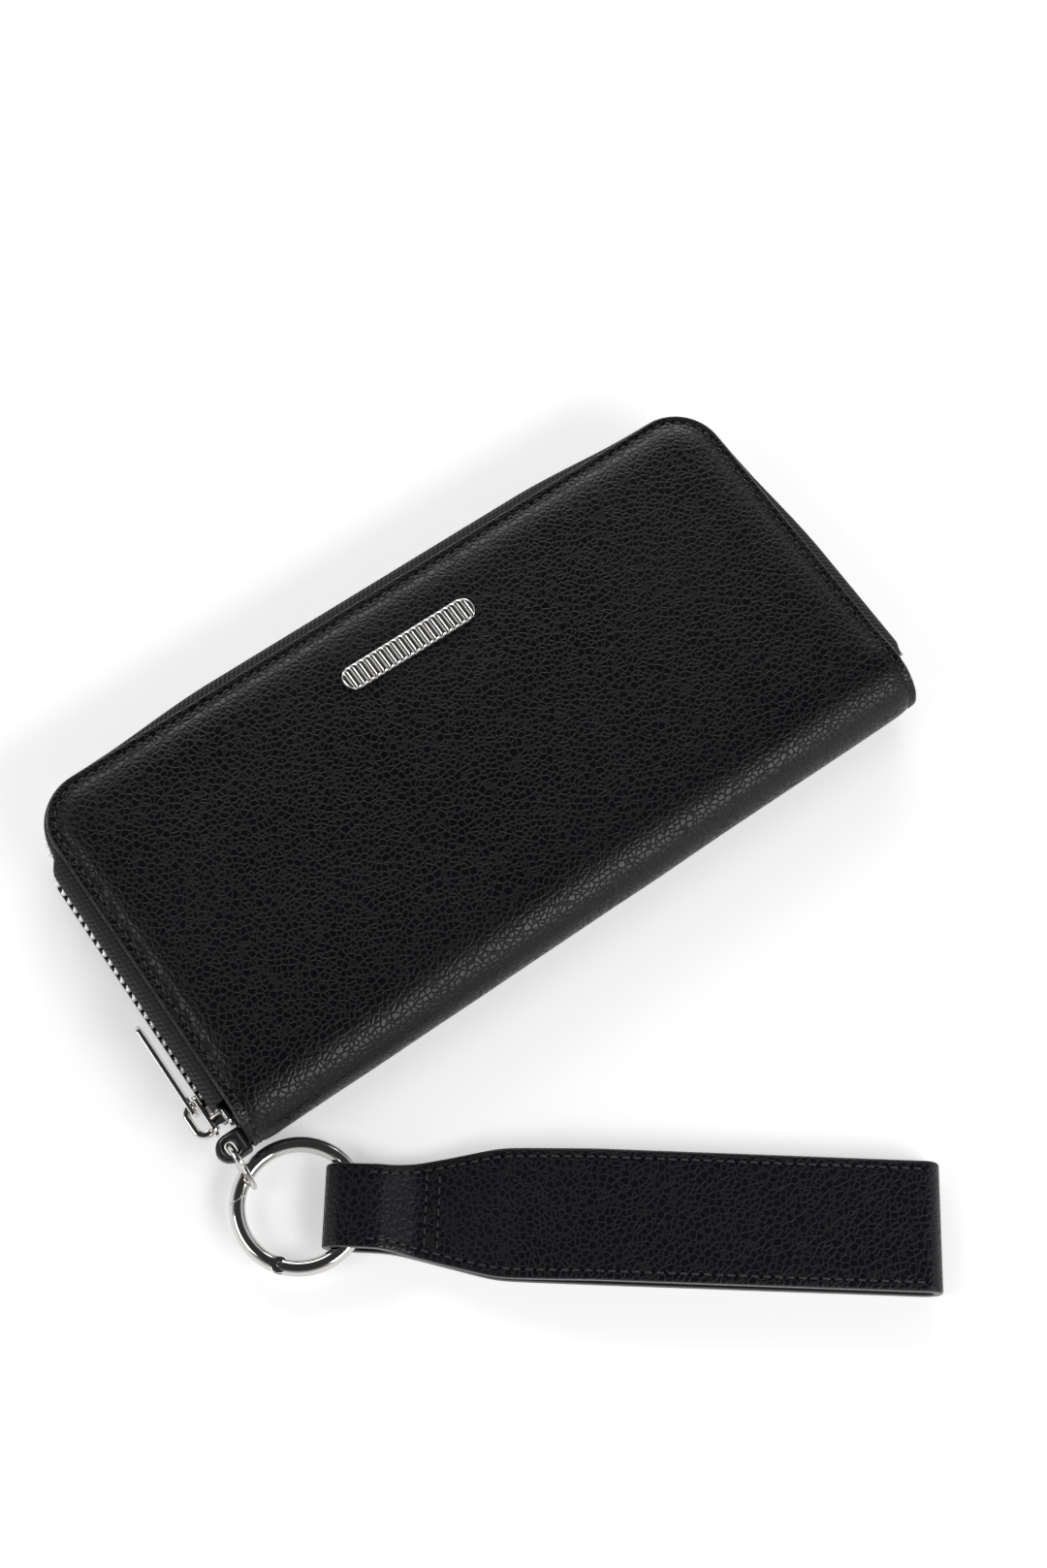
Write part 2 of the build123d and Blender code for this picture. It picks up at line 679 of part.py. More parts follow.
def coin_pocket():
    """Coin pocket: flat pouch, open on the zip side, with side flanges for the gussets."""
    outside = block(-pouch_half_width, pouch_half_width, pouch_back, pouch_mouth, pouch_low, pouch_high)
    hollow = block(-pouch_half_width + pouch_wall, pouch_half_width - pouch_wall, pouch_back + pouch_wall,
                   pouch_mouth + through, pouch_low + pouch_wall, pouch_high - pouch_wall)
    shell = outside - hollow
    flange_reach = half_length - gusset_inset
    for side in (left, right):
        for low in (pouch_low, pouch_high - pouch_wall):
            shell += block(side * pouch_half_width, side * flange_reach, pouch_back,
                           pouch_back + gusset_depth - gusset_foot, low, low + pouch_wall)
    return shell


def coin_tapes():
    """Two zip tapes that close over the coin pocket's mouth."""
    span = pouch_half_width - coin_tape_margin
    tapes = []
    for sign in (-1, 1):
        outer = mid_z + sign * (pouch_inside / 2 + pouch_wall)
        inner = mid_z + sign * coin_tape_gap
        tapes.append(block(-span, span, pouch_mouth, pouch_mouth + coin_tape_depth - coin_tape, outer,
                           outer - sign * coin_tape)
                     + block(-span, span, pouch_mouth + coin_tape_depth - coin_tape,
                             pouch_mouth + coin_tape_depth, outer, inner))
    return tapes


def coin_teeth():
    """Coin zip teeth, alternating between the two tapes."""
    span = pouch_half_width - coin_teeth_margin
    count = int(2 * span / (coin_tooth_pitch / 2))
    teeth = []
    for i in range(count):
        x = -span + (i + 0.5) * coin_tooth_pitch / 2
        z = mid_z + (coin_tooth_stagger if i % 2 else -coin_tooth_stagger)
        tooth = Box(coin_tooth_pitch * coin_tooth_share, coin_tooth, coin_tooth_height)
        teeth.append(Pos(x, coin_chain_y + coin_tooth / 2, z) * tooth)
    return teeth


coin_slider_x = -pouch_half_width + coin_slider_start
coin_slider_y = coin_chain_y + coin_tooth + slider_clear


def coin_slider():
    """Coin zip slider: plate in front of the teeth with a small bridge."""
    x0 = coin_slider_x - coin_slider_length / 2
    x1 = coin_slider_x + coin_slider_length / 2
    half = coin_slider_width / 2
    y1 = coin_slider_y + coin_slider_plate
    plate = block(x0, x1, coin_slider_y, y1, mid_z - half, mid_z + half)
    arch = block(x0 + coin_arch_inset, x1 - coin_arch_inset, y1, y1 + coin_arch_height,
                 mid_z - coin_arch_half, mid_z + coin_arch_half)
    inset = coin_arch_inset + coin_arch_bar
    hole = block(x0 + inset, x1 - inset, y1, y1 + coin_arch_height - coin_arch_bar,
                 mid_z - coin_arch_half - through, mid_z + coin_arch_half + through)
    return plate + arch - hole


def coin_tab():
    """Coin zip tab, folded flat along the zip."""
    y0 = coin_slider_y + coin_slider_plate + coin_tab_lift
    start = coin_slider_x + coin_slider_length / 2 - coin_tab_hook
    plate = block(start, start + coin_tab_length, y0, y0 + coin_tab_thickness, mid_z - coin_tab_width / 2,
                  mid_z + coin_tab_width / 2)
    slot = block(start + coin_tab_bar, start + coin_tab_slot, y0 - through, y0 + coin_tab_thickness + through,
                 mid_z - coin_tab_slot_half, mid_z + coin_tab_slot_half)
    return plate - slot


# ---------------------------------------------------------------- badge
def badge():
    """Plain metal bar on the front cover."""
    bar = Pos(badge_x, badge_y, wallet_thickness + badge_thickness / 2) * Box(
        badge_length, badge_width, badge_thickness)
    bar = fillet(bar.edges().filter_by(Axis.Z), badge_width / 2 - badge_corner)
    return chamfer(bar.edges().group_by(Axis.Z)[-1], badge_bevel)


# ---------------------------------------------------------------- write every sub-part
back_start = fold_y
front_start = fold_y + fold_gap

save("back_leather", cover_leather(back_start))
save("back_foam", cover_foam(back_start))
save("back_board", cover_board(back_start))
save("back_lining", cover_lining(back_start))
save("back_stitching", cover_stitching(back_start))
save("spine_leather", spine_shell(spine_radius, spine_radius - spine_leather_wall))
save("spine_lining", spine_shell(spine_radius - spine_leather_wall, spine_inside))
save("left_tape_end", tape_end(left))
save("right_tape_end", tape_end(right))
save("keeper_loop", keeper_loop())
save("back_zip_tape", zip_tape())
save("back_zip_teeth", *zip_teeth(0.0))
save("back_zip_stops", *zip_stops())
save("back_bill_pocket", bill_pocket_panel(back_start))
save("front_leather", to_front(cover_leather(front_start)))
save("front_foam", to_front(cover_foam(front_start)))
save("front_board", to_front(cover_board(front_start)))
save("front_lining", to_front(cover_lining(front_start)))
save("front_stitching", to_front(cover_stitching(front_start)))
save("front_zip_tape", to_front(zip_tape()))
save("front_zip_teeth", *[to_front(tooth) for tooth in zip_teeth(0.5)])
save("front_zip_stops", *[to_front(stop) for stop in zip_stops()])
save("front_bill_pocket", to_front(bill_pocket_panel(front_start)))
for slot in range(card_slot_count):
    save(f"back_card_slot_{slot + 1}", card_slot_panel(back_start, slot))
    save(f"front_card_slot_{slot + 1}", to_front(card_slot_panel(front_start, slot)))
for side, name in ((left, "left"), (right, "right")):
    save(f"{name}_back_gusset", gusset_leaf(side, front_start + gusset_foot, lining_top))
    save(f"{name}_front_gusset", to_front(gusset_leaf(side, front_start + gusset_foot, lining_top)))
    divider_leaf = gusset_leaf(side, pouch_back, pouch_low - gusset)
    save(f"{name}_divider_gusset", divider_leaf, to_front(divider_leaf))
save("coin_pocket", coin_pocket())
save("coin_zip_tapes", *coin_tapes())
save("coin_zip_teeth", *coin_teeth())
save("coin_slider", coin_slider())
save("coin_tab", coin_tab())
save("zip_slider", slider_body())
save("slider_bridge", slider_bridge())
save("pull_tab", pull_tab())
save("oval_link", oval_link())
save("ring_body", ring_body())
save("ring_gate", ring_gate())
save("gate_pin", gate_pin())
save("gate_spring", gate_spring())
strap_outer, strap_inner, strap_thread = strap_pieces()
save("strap_leather", strap_outer)
save("strap_lining", strap_inner)
save("strap_stitching", strap_thread)
save("badge_bar", badge())
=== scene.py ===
"""Dressed wristlet wallet: leather, stitching, zip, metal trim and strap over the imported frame."""
import bpy
import bmesh
from math import atan2, ceil, cos, hypot, pi, radians, sin, sqrt, tan
from mathutils import Matrix, Vector, noise


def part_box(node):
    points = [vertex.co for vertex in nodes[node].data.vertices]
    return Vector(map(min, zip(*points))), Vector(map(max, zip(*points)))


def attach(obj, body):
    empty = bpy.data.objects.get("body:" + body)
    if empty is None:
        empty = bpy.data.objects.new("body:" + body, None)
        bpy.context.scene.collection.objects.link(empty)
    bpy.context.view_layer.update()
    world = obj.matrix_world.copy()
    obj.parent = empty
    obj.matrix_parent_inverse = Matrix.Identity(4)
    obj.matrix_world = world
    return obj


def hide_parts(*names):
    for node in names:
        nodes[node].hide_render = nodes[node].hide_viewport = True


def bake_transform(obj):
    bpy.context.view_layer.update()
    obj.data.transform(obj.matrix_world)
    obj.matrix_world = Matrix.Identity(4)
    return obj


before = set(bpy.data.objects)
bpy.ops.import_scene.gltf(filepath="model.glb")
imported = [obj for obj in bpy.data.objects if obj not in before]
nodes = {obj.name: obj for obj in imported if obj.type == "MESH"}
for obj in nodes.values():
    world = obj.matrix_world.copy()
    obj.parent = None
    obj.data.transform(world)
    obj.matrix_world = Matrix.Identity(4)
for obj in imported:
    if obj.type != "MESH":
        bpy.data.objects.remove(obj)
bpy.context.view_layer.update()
mm = 0.001

# ------------ sizes read from the frame, mm
back_low, back_high = [tuple(v / mm for v in p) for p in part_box("back_leather")]
half_length = back_high[0]
edge_y = back_high[1]
fold_y = back_low[1]
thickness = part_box("spine_leather")[1][2] / mm
mid_z = thickness / 2
spine_radius = thickness / 2

# ------------ sizes of the dressing, mm
corner = 12.5            # zip-side corners
rim_drop = 1.3           # sewn rim below the crown
rim_flat = 2.7           # width of the pressed rim
slope = 9.0              # padded slope inside the rim
spine_drop = 0.35        # the same pressed rim at the spine's two ends
spine_slope = 4.5
spine_fade_start = 12.0  # the cover's press fades into the spine's over this stretch
spine_fade = 14.0
rise_power = 2.3         # how steeply the stuffed slope rises from its seam
rise_start = 0.22
bow = 0.3                # slight rise towards the middle of the padding
bow_reach = 26.0
edge_round = 0.7
edge_share = 0.8         # share of that round that the painted edge shows
edge_swell = 0.12        # the painted edge stands out this far
rim_leather = 1.4
turn_in = 3.0
groove_depth = 0.28      # the stitches lie in this groove
groove_half = 0.5
groove_fall = 2.718      # how steeply the groove's sides rise
wave_height = 0.14       # slow unevenness of hand-filled padding
wave_size = 19.0
wave_layer = 3.7         # slice of the noise that gives the unevenness
wave_fade = 12.0

seam_inset = 2.1
seam_pitch = 2.7
seam_length = 1.9
seam_step = 0.3          # points of the line that the stitches follow
thread_radius = 0.28
thread_lift = 0.35       # share of its radius that a stitch stands out
hole_radius = 0.5        # dark matte marks between the stitches: painted shade of the needle holes
hole_sink = 0.72
hole_length = 1.3

roll_reach = 14.0        # the padded top rolls over to the spine on an ellipse this long
roll_start = roll_reach - spine_radius
roll_margin = 8.0        # the finer rows of the roll reach this far past it

panel_length = edge_y - fold_y
spine_length = pi * spine_radius
sheet_length = 2 * panel_length + spine_length
fold_low = panel_length + spine_length

tiny = 1e-6


def smooth(t):
    """Smoothstep, clamped."""
    t = min(max(t, 0.0), 1.0)
    return t * t * (3 - 2 * t)


def box_of(node):
    """Low and high corner of a CAD node, in mm."""
    return [Vector(p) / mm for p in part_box(node)]


def fit(piece, body, slot_name, *stands_for):
    """Puts a finished piece on its body, in the place of its CAD nodes."""
    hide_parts(*stands_for)
    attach(piece, body)


# ------------ materials
class Nodes:
    """A material's node tree with a few shorthands."""

    def __init__(self, name):
        self.material = bpy.data.materials.new(name)
        self.material.use_nodes = True
        self.tree = self.material.node_tree
        self.shader = self.tree.nodes["Principled BSDF"]

    def add(self, kind, **values):
        node = self.tree.nodes.new(kind)
        for key, value in values.items():
            if hasattr(node, key):
                setattr(node, key, value)
            else:
                node.inputs[key].default_value = value
        return node

    def link(self, source, target):
        self.tree.links.new(source, target)

    def math(self, operation, first, second=0.0):
        node = self.add("ShaderNodeMath", operation=operation)
        for slot, value in ((0, first), (1, second)):
            if isinstance(value, (int, float)):
                node.inputs[slot].default_value = value
            else:
                self.link(value, node.inputs[slot])
        return node.outputs[0]

    def ramp(self, source, stops):
        node = self.add("ShaderNodeValToRGB")
        elements = node.color_ramp.elements
        for element, (place, colour) in ((elements[0], stops[0]), (elements[1], stops[-1])):
            element.position, element.color = place, (*colour, 1)
        for place, colour in stops[1:-1]:
            elements.new(place).color = (*colour, 1)
        self.link(source, node.inputs["Fac"])
        return node.outputs["Color"]

    def spread(self, source, low, high, to_low, to_high):
        node = self.add("ShaderNodeMapRange")
        for slot, value in zip(("From Min", "From Max", "To Min", "To Max"), (low, high, to_low, to_high)):
            node.inputs[slot].default_value = value
        self.link(source, node.inputs["Value"])
        return node.outputs["Result"]

    def bump(self, height, strength, distance):
        """Makes the surface's normal from a height; the distance is in mm."""
        node = self.add("ShaderNodeBump", Strength=strength, Distance=distance * mm)
        self.link(height, node.inputs["Height"])
        self.link(node.outputs["Normal"], self.shader.inputs["Normal"])

    def texture(self, kind, vector, scale, output, **values):
        node = self.add(kind, Scale=scale, **values)
        self.link(vector, node.inputs["Vector"])
        return node.outputs[output]

    def noise(self, vector, scale, detail, output="Fac", **values):
        return self.texture("ShaderNodeTexNoise", vector, scale, output, Detail=detail, **values)

    def place(self):
        """The piece's own coordinates, in metres."""
        return self.add("ShaderNodeTexCoord").outputs["Object"]

    def set(self, socket, value):
        """Gives a socket of the shader a number, a colour or another node's output."""
        if isinstance(value, bpy.types.NodeSocket):
            self.link(value, self.shader.inputs[socket])
        else:
            self.shader.inputs[socket].default_value = value


def grey(value, warm=0.0):
    """A near-neutral colour."""
    return (value * (1 + warm), value, value * (1 - warm))


def cool(value):
    """The faintly bluish black of dyed leather."""
    return (value, value * 0.9, value * 1.9)


grain_wobble = 0.4       # mm that the leather's cells are bent out of true


def leather(name, shade, cell=1.5, depth=0.11, rough=(0.26, 0.35)):
    """Pebbled leather: domed cells parted by narrow creases, with fine wrinkles, pores and slow patches; the
    colour is darkened in the creases as painted shade.
    """
    n = Nodes(name)
    place = n.place()
    wobble = n.noise(place, 650.0, 2.0, "Color")
    shift = n.add("ShaderNodeVectorMath", operation="SCALE", Scale=grain_wobble * mm)
    n.link(wobble, shift.inputs[0])
    bent = n.add("ShaderNodeVectorMath", operation="ADD")
    n.link(place, bent.inputs[0])
    n.link(shift.outputs["Vector"], bent.inputs[1])
    crease, small = [n.texture("ShaderNodeTexVoronoi", bent.outputs["Vector"], finer / (cell * mm),
                               "Distance", feature="DISTANCE_TO_EDGE") for finer in (1.0, 2.3)]
    pores = n.noise(place, 5200.0, 3.0)
    patches = n.noise(place, 34.0, 2.0)
    valley = n.spread(crease, 0.0, 0.10, 0.0, 1.0)
    flank = n.spread(crease, 0.0, 0.34, 1.0, 0.0)
    dome = n.math("SUBTRACT", 1.0, n.math("MULTIPLY", flank, flank))
    fine = n.spread(small, 0.0, 0.10, 0.0, 1.0)
    height = n.math("ADD", n.math("MULTIPLY", valley, 0.22), n.math("MULTIPLY", dome, 0.62))
    height = n.math("ADD", height, n.math("MULTIPLY", fine, 0.05))
    height = n.math("ADD", height, n.math("MULTIPLY", pores, 0.012))
    n.bump(height, 1.0, depth)
    # colour darkest in the creases: painted shade; the slow patches add random tone
    crease_shade_and_patches = n.math("ADD", n.math("MULTIPLY", valley, 0.7), n.math("MULTIPLY", patches, 0.4))
    n.set("Base Color", n.ramp(crease_shade_and_patches, [(0.2, cool(shade * 0.15)), (0.75, cool(shade * 0.85)),
                                      (1.0, cool(shade * 1.25))]))
    gloss = n.spread(patches, 0.2, 0.8, *rough)
    n.set("Roughness", n.math("ADD", gloss, n.spread(crease, 0.0, 0.14, 0.35, 0.0)))
    n.set("Specular IOR Level", 0.3)
    return n.material


def smooth_leather(name, shade, rough, specular):
    """Fine-grained leather for edges, pockets and the keeper."""
    n = Nodes(name)
    place = n.place()
    grain = n.noise(place, 1900.0, 4.0)
    cloud = n.noise(place, 90.0, 2.0)
    n.bump(grain, 0.35, 0.10)
    n.set("Base Color", n.ramp(cloud, [(0.3, grey(shade * 0.8)), (0.7, grey(shade * 1.2))]))
    n.set("Roughness", n.spread(grain, 0.3, 0.7, *rough))
    n.set("Specular IOR Level", specular)
    return n.material


def cloth(name, shade, pitch, twill, depth, warm=0.0):
    """Woven cloth from two crossed waves in the piece's own thread coordinates, in mm."""
    n = Nodes(name)
    place = n.add("ShaderNodeUVMap").outputs["UV"]
    split = n.add("ShaderNodeSeparateXYZ")
    n.link(place, split.inputs[0])
    along, across = split.outputs["X"], split.outputs["Y"]
    turn = 2 * pi / pitch
    first = n.math("SINE", n.math("MULTIPLY", n.math("ADD", along, n.math("MULTIPLY", across, twill)), turn))
    second = n.math("SINE", n.math("MULTIPLY", across, turn))
    weave = n.math("ADD", first, n.math("MULTIPLY", second, 0.2))
    fuzz = n.noise(n.place(), 2500.0, 3.0)
    height = n.math("ADD", weave, fuzz)
    n.bump(height, 1.0, depth)
    # colour follows the weave's height: painted shade in its valleys and painted highlight on its ridges
    n.set("Base Color", n.ramp(n.spread(height, -1.2, 2.2, 0.0, 1.0),
                               [(0.0, grey(shade * 0.10, warm)), (1.0, grey(shade * 2.6, warm))]))
    n.set("Roughness", n.spread(fuzz, 0.3, 0.7, 0.76, 0.88))
    n.set("Specular IOR Level", 0.25)
    n.set("Sheen Weight", 0.12)
    return n.material


def thread(name, shade):
    """Twisted sewing thread."""
    n = Nodes(name)
    place = n.place()
    twist = n.texture("ShaderNodeTexWave", place, 620.0, "Fac", Distortion=3.0, bands_direction="DIAGONAL")
    n.bump(twist, 0.5, 0.06)
    # colour follows the twist: painted shade in its grooves and painted highlight on its ridges
    n.set("Base Color", n.ramp(twist, [(0.0, grey(shade * 0.7)), (1.0, grey(shade * 1.3))]))
    n.set("Roughness", n.spread(twist, 0.0, 1.0, 0.5, 0.62))
    return n.material


def nickel(name, shade, rough, wear=0.05):
    """Plated metal with faint handling marks."""
    n = Nodes(name)
    place = n.place()
    marks = n.noise(place, 700.0, 4.0, Roughness=0.7)
    cloud = n.noise(place, 120.0, 2.0)
    n.bump(marks, 0.06, 0.02)
    n.set("Base Color", n.ramp(cloud, [(0.3, grey(shade * 0.94, 0.025)), (0.7, grey(shade, 0.015))]))
    n.set("Roughness", n.spread(marks, 0.3, 0.7, rough, rough + wear))
    n.set("Metallic", 1.0)
    return n.material


pebbled = leather("pebbled_leather", 0.0016)
# the strap's copy of the pebbled leather has twice the covers' shade: painted light that makes it show as
# bright as the covers
strap_grain_lightened = leather("strap_leather_grain_lightened", 0.0032, depth=0.10)
# edge paint far lighter than the leather: its own colour with a painted highlight line along the edges
edge_paint_and_sheen = smooth_leather("edge_paint_and_sheen", 0.035, rough=(0.26, 0.36), specular=0.6)
plain_leather = smooth_leather("plain_leather", 0.010, rough=(0.34, 0.46), specular=0.5)
tape_cloth = cloth("zip_tape_twill", 0.009, pitch=1.3, twill=0.6, depth=0.45)
lining_cloth = cloth("lining_weave", 0.026, pitch=0.5, twill=0.0, depth=0.08, warm=0.03)
black_thread = thread("black_thread", 0.012)
# dark matte stuff for the marks between the stitches: painted shade of the needle holes
needle_hole_shade = smooth_leather("needle_hole_shade", 0.0012, rough=(0.8, 0.9), specular=0.05)
bright = nickel("polished_nickel", 0.66, 0.08)
tooth_metal = nickel("zip_tooth_nickel", 0.92, 0.42, 0.08)
satin = nickel("satin_nickel", 0.74, 0.24, 0.06)
foam_stuff = smooth_leather("foam_sheet", 0.30, rough=(0.85, 0.95), specular=0.1)
board_stuff = smooth_leather("stiff_board", 0.20, rough=(0.75, 0.85), specular=0.2)


# ------------ mesh building, in mm
class Mesher:
    """Collects points and faces in mm, then makes one object."""

    def __init__(self):
        self.points, self.faces, self.slots, self.uvs = [], [], [], []

    def grid(self, rows, slot=0, wrap=False, wrap_rows=False, uv=None, ends=False):
        """Faces over rows of points; slot is a number or a function of row and column."""
        start = len(self.points)
        width = len(rows[0])
        for i, row in enumerate(rows):
            for j, point in enumerate(row):
                self.points.append(Vector(point))
                self.uvs.append(uv(i, j) if uv else (point[0], point[1]))
        for i in range(len(rows) if wrap_rows else len(rows) - 1):
            below = (i + 1) % len(rows)
            for j in range(width if wrap else width - 1):
                beside = (j + 1) % width
                self.faces.append([start + i * width + j, start + i * width + beside,
                                   start + below * width + beside, start + below * width + j])
                self.slots.append(slot(i, j) if callable(slot) else slot)
        if ends:
            self.cap(rows[0], slot)
            self.cap(rows[-1], slot)

    def cap(self, ring, slot=0):
        """One face over a ring of points."""
        start = len(self.points)
        for point in ring:
            self.points.append(Vector(point))
            self.uvs.append((point[0], point[1]))
        self.faces.append(list(range(start, start + len(ring))))
        self.slots.append(slot)

    def make(self, name, materials, sharp=40, weld=0.002):
        """The finished object; faces that meet at more than the sharp angle, in degrees, keep their edge."""
        mesh = bpy.data.meshes.new(name)
        mesh.from_pydata([p * mm for p in self.points], [], self.faces)
        layer = mesh.uv_layers.new(name="threads")
        for polygon, slot in zip(mesh.polygons, self.slots):
            polygon.material_index = slot
            polygon.use_smooth = True
            for corner_index in polygon.loop_indices:
                layer.data[corner_index].uv = self.uvs[mesh.loops[corner_index].vertex_index]
        for material in materials:
            mesh.materials.append(material)
        work = bmesh.new()
        work.from_mesh(mesh)
        bmesh.ops.remove_doubles(work, verts=work.verts, dist=weld * mm)
        bmesh.ops.dissolve_degenerate(work, edges=work.edges, dist=weld * mm / 10)
        bmesh.ops.recalc_face_normals(work, faces=work.faces)
        work.to_mesh(mesh)
        work.free()
        mesh.set_sharp_from_angle(angle=radians(sharp))
        piece = bpy.data.objects.new(name, mesh)
        bpy.context.collection.objects.link(piece)
        return piece


def spaced(low, high, step):
    """Evenly spaced values that include both ends."""
    count = max(1, ceil(abs(high - low) / step))
    return [low + (high - low) * i / count for i in range(count + 1)]


def around(first, second, steps):
    """Unit directions that go once round from the first towards the second."""
    return [first * cos(2 * pi * k / steps) + second * sin(2 * pi * k / steps) for k in range(steps)]


# place along half a stitch, and the stitch's thickness there
capsule_profile = ((-1.0, 0.25), (-0.86, 0.75), (-0.4, 1.0), (0.4, 1.0), (0.86, 0.75), (1.0, 0.25))
capsule_sink = 0.9       # its two ends dive by this share of the radius


def capsule(mesher, centre, along, up, length, radius, slot=0):
    """A short rounded stitch lying along a direction."""
    along = along.normalized()
    across = up.cross(along).normalized()
    rise = along.cross(across)
    rows = []
    for place, share in capsule_profile:
        middle = centre + along * (length / 2 * place) - rise * (radius * capsule_sink * abs(place) ** 3)
        rows.append([middle + spoke * radius * share for spoke in around(across, rise, 8)])
    mesher.grid(rows, slot, wrap=True, ends=True)


# ------------ the leather sheet that wraps the wallet
def sheet_base(v):
    """Height line of the unpressed sheet at distance v from the front cover's zip-side edge."""
    if v <= panel_length - roll_start:
        return edge_y - v, thickness, 0.0, 1.0
    if v <= panel_length + spine_length / 2:
        turn = pi / 2 * (v - panel_length + roll_start) / (roll_start + spine_length / 2)
        ny, nz = -sin(turn) / roll_reach, cos(turn) / spine_radius
        size = hypot(ny, nz)
        middle_y = fold_y - spine_radius + roll_reach
        return middle_y - roll_reach * sin(turn), mid_z + spine_radius * cos(turn), ny / size, nz / size
    if v <= fold_low:
        turn = (v - panel_length) / spine_radius
        return fold_y - spine_radius * sin(turn), mid_z + spine_radius * cos(turn), -sin(turn), cos(turn)
    return fold_y + (v - fold_low), 0.0, 0.0, -1.0


def edge_distance(x, v):
    """Distance from the sheet's outline, inwards."""
    beside = half_length - abs(x)
    ahead = min(v, sheet_length - v)
    if beside < corner and ahead < corner:
        return corner - hypot(corner - beside, corner - ahead)
    return min(beside, ahead)


def half_width(v):
    """Half the sheet's width at distance v."""
    ahead = min(v, sheet_length - v)
    if ahead >= corner:
        return half_length
    return half_length - corner + sqrt(max(corner**2 - (corner - ahead)**2, 0.0))


def pressed(x, v):
    """How far the sheet lies below its unpressed height."""
    d = max(edge_distance(x, v), 0.0)
    middle = panel_length + spine_length / 2
    spine_share = smooth((spine_length / 2 + spine_fade_start - abs(v - middle)) / spine_fade)
    panel = rim_drop * (1 - smooth_rise((d - rim_flat) / slope))
    spine = spine_drop * (1 - smooth_rise((d - rim_flat) / spine_slope))
    drop = panel * (1 - spine_share) + spine * spine_share
    drop += groove_depth * groove_fall ** (-((d - seam_inset) / groove_half) ** 2)
    if d < edge_round:
        drop += edge_round * (1 - sqrt(1 - (1 - d / edge_round) ** 2)) * edge_share
    if d > rim_flat:
        wave = noise.noise(Vector((x / wave_size, v / wave_size, wave_layer)))
        drop += wave_height * wave * smooth((d - rim_flat) / wave_fade)
        if v < panel_length:
            drop -= bow * smooth((d - slope) / bow_reach) * (1 - spine_share)
    return drop


def smooth_rise(t):
    """Rise of a stuffed edge: steep at the seam, then easing onto the crown."""
    t = min(max(t, 0.0), 1.0)
    eased = 1 - (1 - t) ** rise_power
    return eased * smooth(t / rise_start) if t < rise_start else eased


def on_sheet(x, v):
    """A point on the finished sheet, with its outward direction."""
    y, z, ny, nz = sheet_base(v)
    down = pressed(x, v)
    if v > fold_low:
        down = max(down, 0.0)
    return Vector((x, y - ny * down, z - nz * down)), Vector((0.0, ny, nz))


def sheet_columns():
    """Column places across the full width, closer together near both ends."""
    fine_band, fine_step, coarse_step = 16.0, 0.5, 1.6
    depths = spaced(0.0, fine_band, fine_step) + spaced(fine_band, half_length, coarse_step)[1:]
    inwards = [half_length - d for d in depths]
    return [-x for x in inwards] + inwards[-2::-1]


def sheet_rows(low, high):
    """Row places along the sheet, closer together at its corners and over the spine."""
    corner_rows, flat_step, roll_step = 30, 1.5, 0.7
    roll_from, roll_to = panel_length - roll_margin, fold_low + roll_margin
    places = [corner * (1 - cos(pi / 2 * k / corner_rows)) for k in range(corner_rows + 1)]
    places += spaced(corner, roll_from, flat_step)[1:] + spaced(roll_from, roll_to, roll_step)[1:]
    places += [sheet_length - v for v in places if v < roll_from]
    places += spaced(roll_to, sheet_length - corner, flat_step)[1:]
    kept = sorted({round(v, 5) for v in places if low - tiny <= v <= high + tiny} | {low, high})
    return [v for i, v in enumerate(kept) if i == 0 or v - kept[i - 1] > 100 * tiny]


def sheet_piece(name, low, high):
    """One piece of the sheet with its turned and painted edges."""
    mesher = Mesher()
    columns = sheet_columns()
    places = sheet_rows(low, high)
    rows = []
    for v in places:
        reach = half_width(v)
        rows.append([on_sheet(x * reach / half_length, v)[0] for x in columns])
    mesher.grid(rows)
    outer_first = abs(low) < tiny
    chain = [(-half_width(v), v) for v in (reversed(places) if outer_first else places)]
    far = low if outer_first else high
    chain += [(x * half_width(far) / half_length, far) for x in columns[1:-1]]
    chain += [(half_width(v), v) for v in (places if outer_first else reversed(places))]
    edge_rows = []
    for x, v in chain:
        top, normal = on_sheet(x, v)
        inward_x, inward_v = inward(x, v)
        under = Vector((inward_x, 0, 0)) + Vector((0, *sheet_along(v))) * inward_v
        bottom = top - normal * (rim_leather - edge_round * edge_share)
        edge_rows.append([top, (top + bottom) / 2 - under * edge_swell, bottom, bottom + under * turn_in])
    mesher.grid(edge_rows, lambda i, j: 1 if j < 2 else 2)
    return mesher.make(name, [pebbled, edge_paint_and_sheen, plain_leather])


def sheet_along(v):
    """Direction of growing v, as its Y and Z parts."""
    probe = 0.01
    y0, z0, _, _ = sheet_base(max(v - probe, 0))
    y1, z1, _, _ = sheet_base(min(v + probe, sheet_length))
    size = hypot(y1 - y0, z1 - z0)
    return (y1 - y0) / size, (z1 - z0) / size


def inward(x, v):
    """Unit direction away from the sheet's outline, in the sheet."""
    side = 1 if x > 0 else -1
    beside = half_length - abs(x)
    ahead, heading = (v, 1) if v < sheet_length / 2 else (sheet_length - v, -1)
    if beside < corner and ahead < corner:
        dx, dv = corner - beside, corner - ahead
        size = max(hypot(dx, dv), tiny)
        return -side * dx / size, heading * dv / size
    return (0.0, heading) if ahead < beside else (-side, 0.0)


def seam_line(far):
    """Stitch places round the outline at the seam's inset, as far as a distance from the zip side."""
    reach = half_length - seam_inset
    turn = corner - seam_inset
    angles = [pi / 2 * k / 40 for k in range(1, 40)]
    bend = [(reach - turn * (1 - cos(angle)), corner - turn * sin(angle)) for angle in angles]
    line = [(-reach, v) for v in spaced(far, corner, seam_step)] + [(-x, v) for x, v in bend]
    line += [(x, seam_inset) for x in spaced(-reach + turn, reach - turn, seam_step)]
    return line + bend[::-1] + [(reach, v) for v in spaced(corner, far, seam_step)]


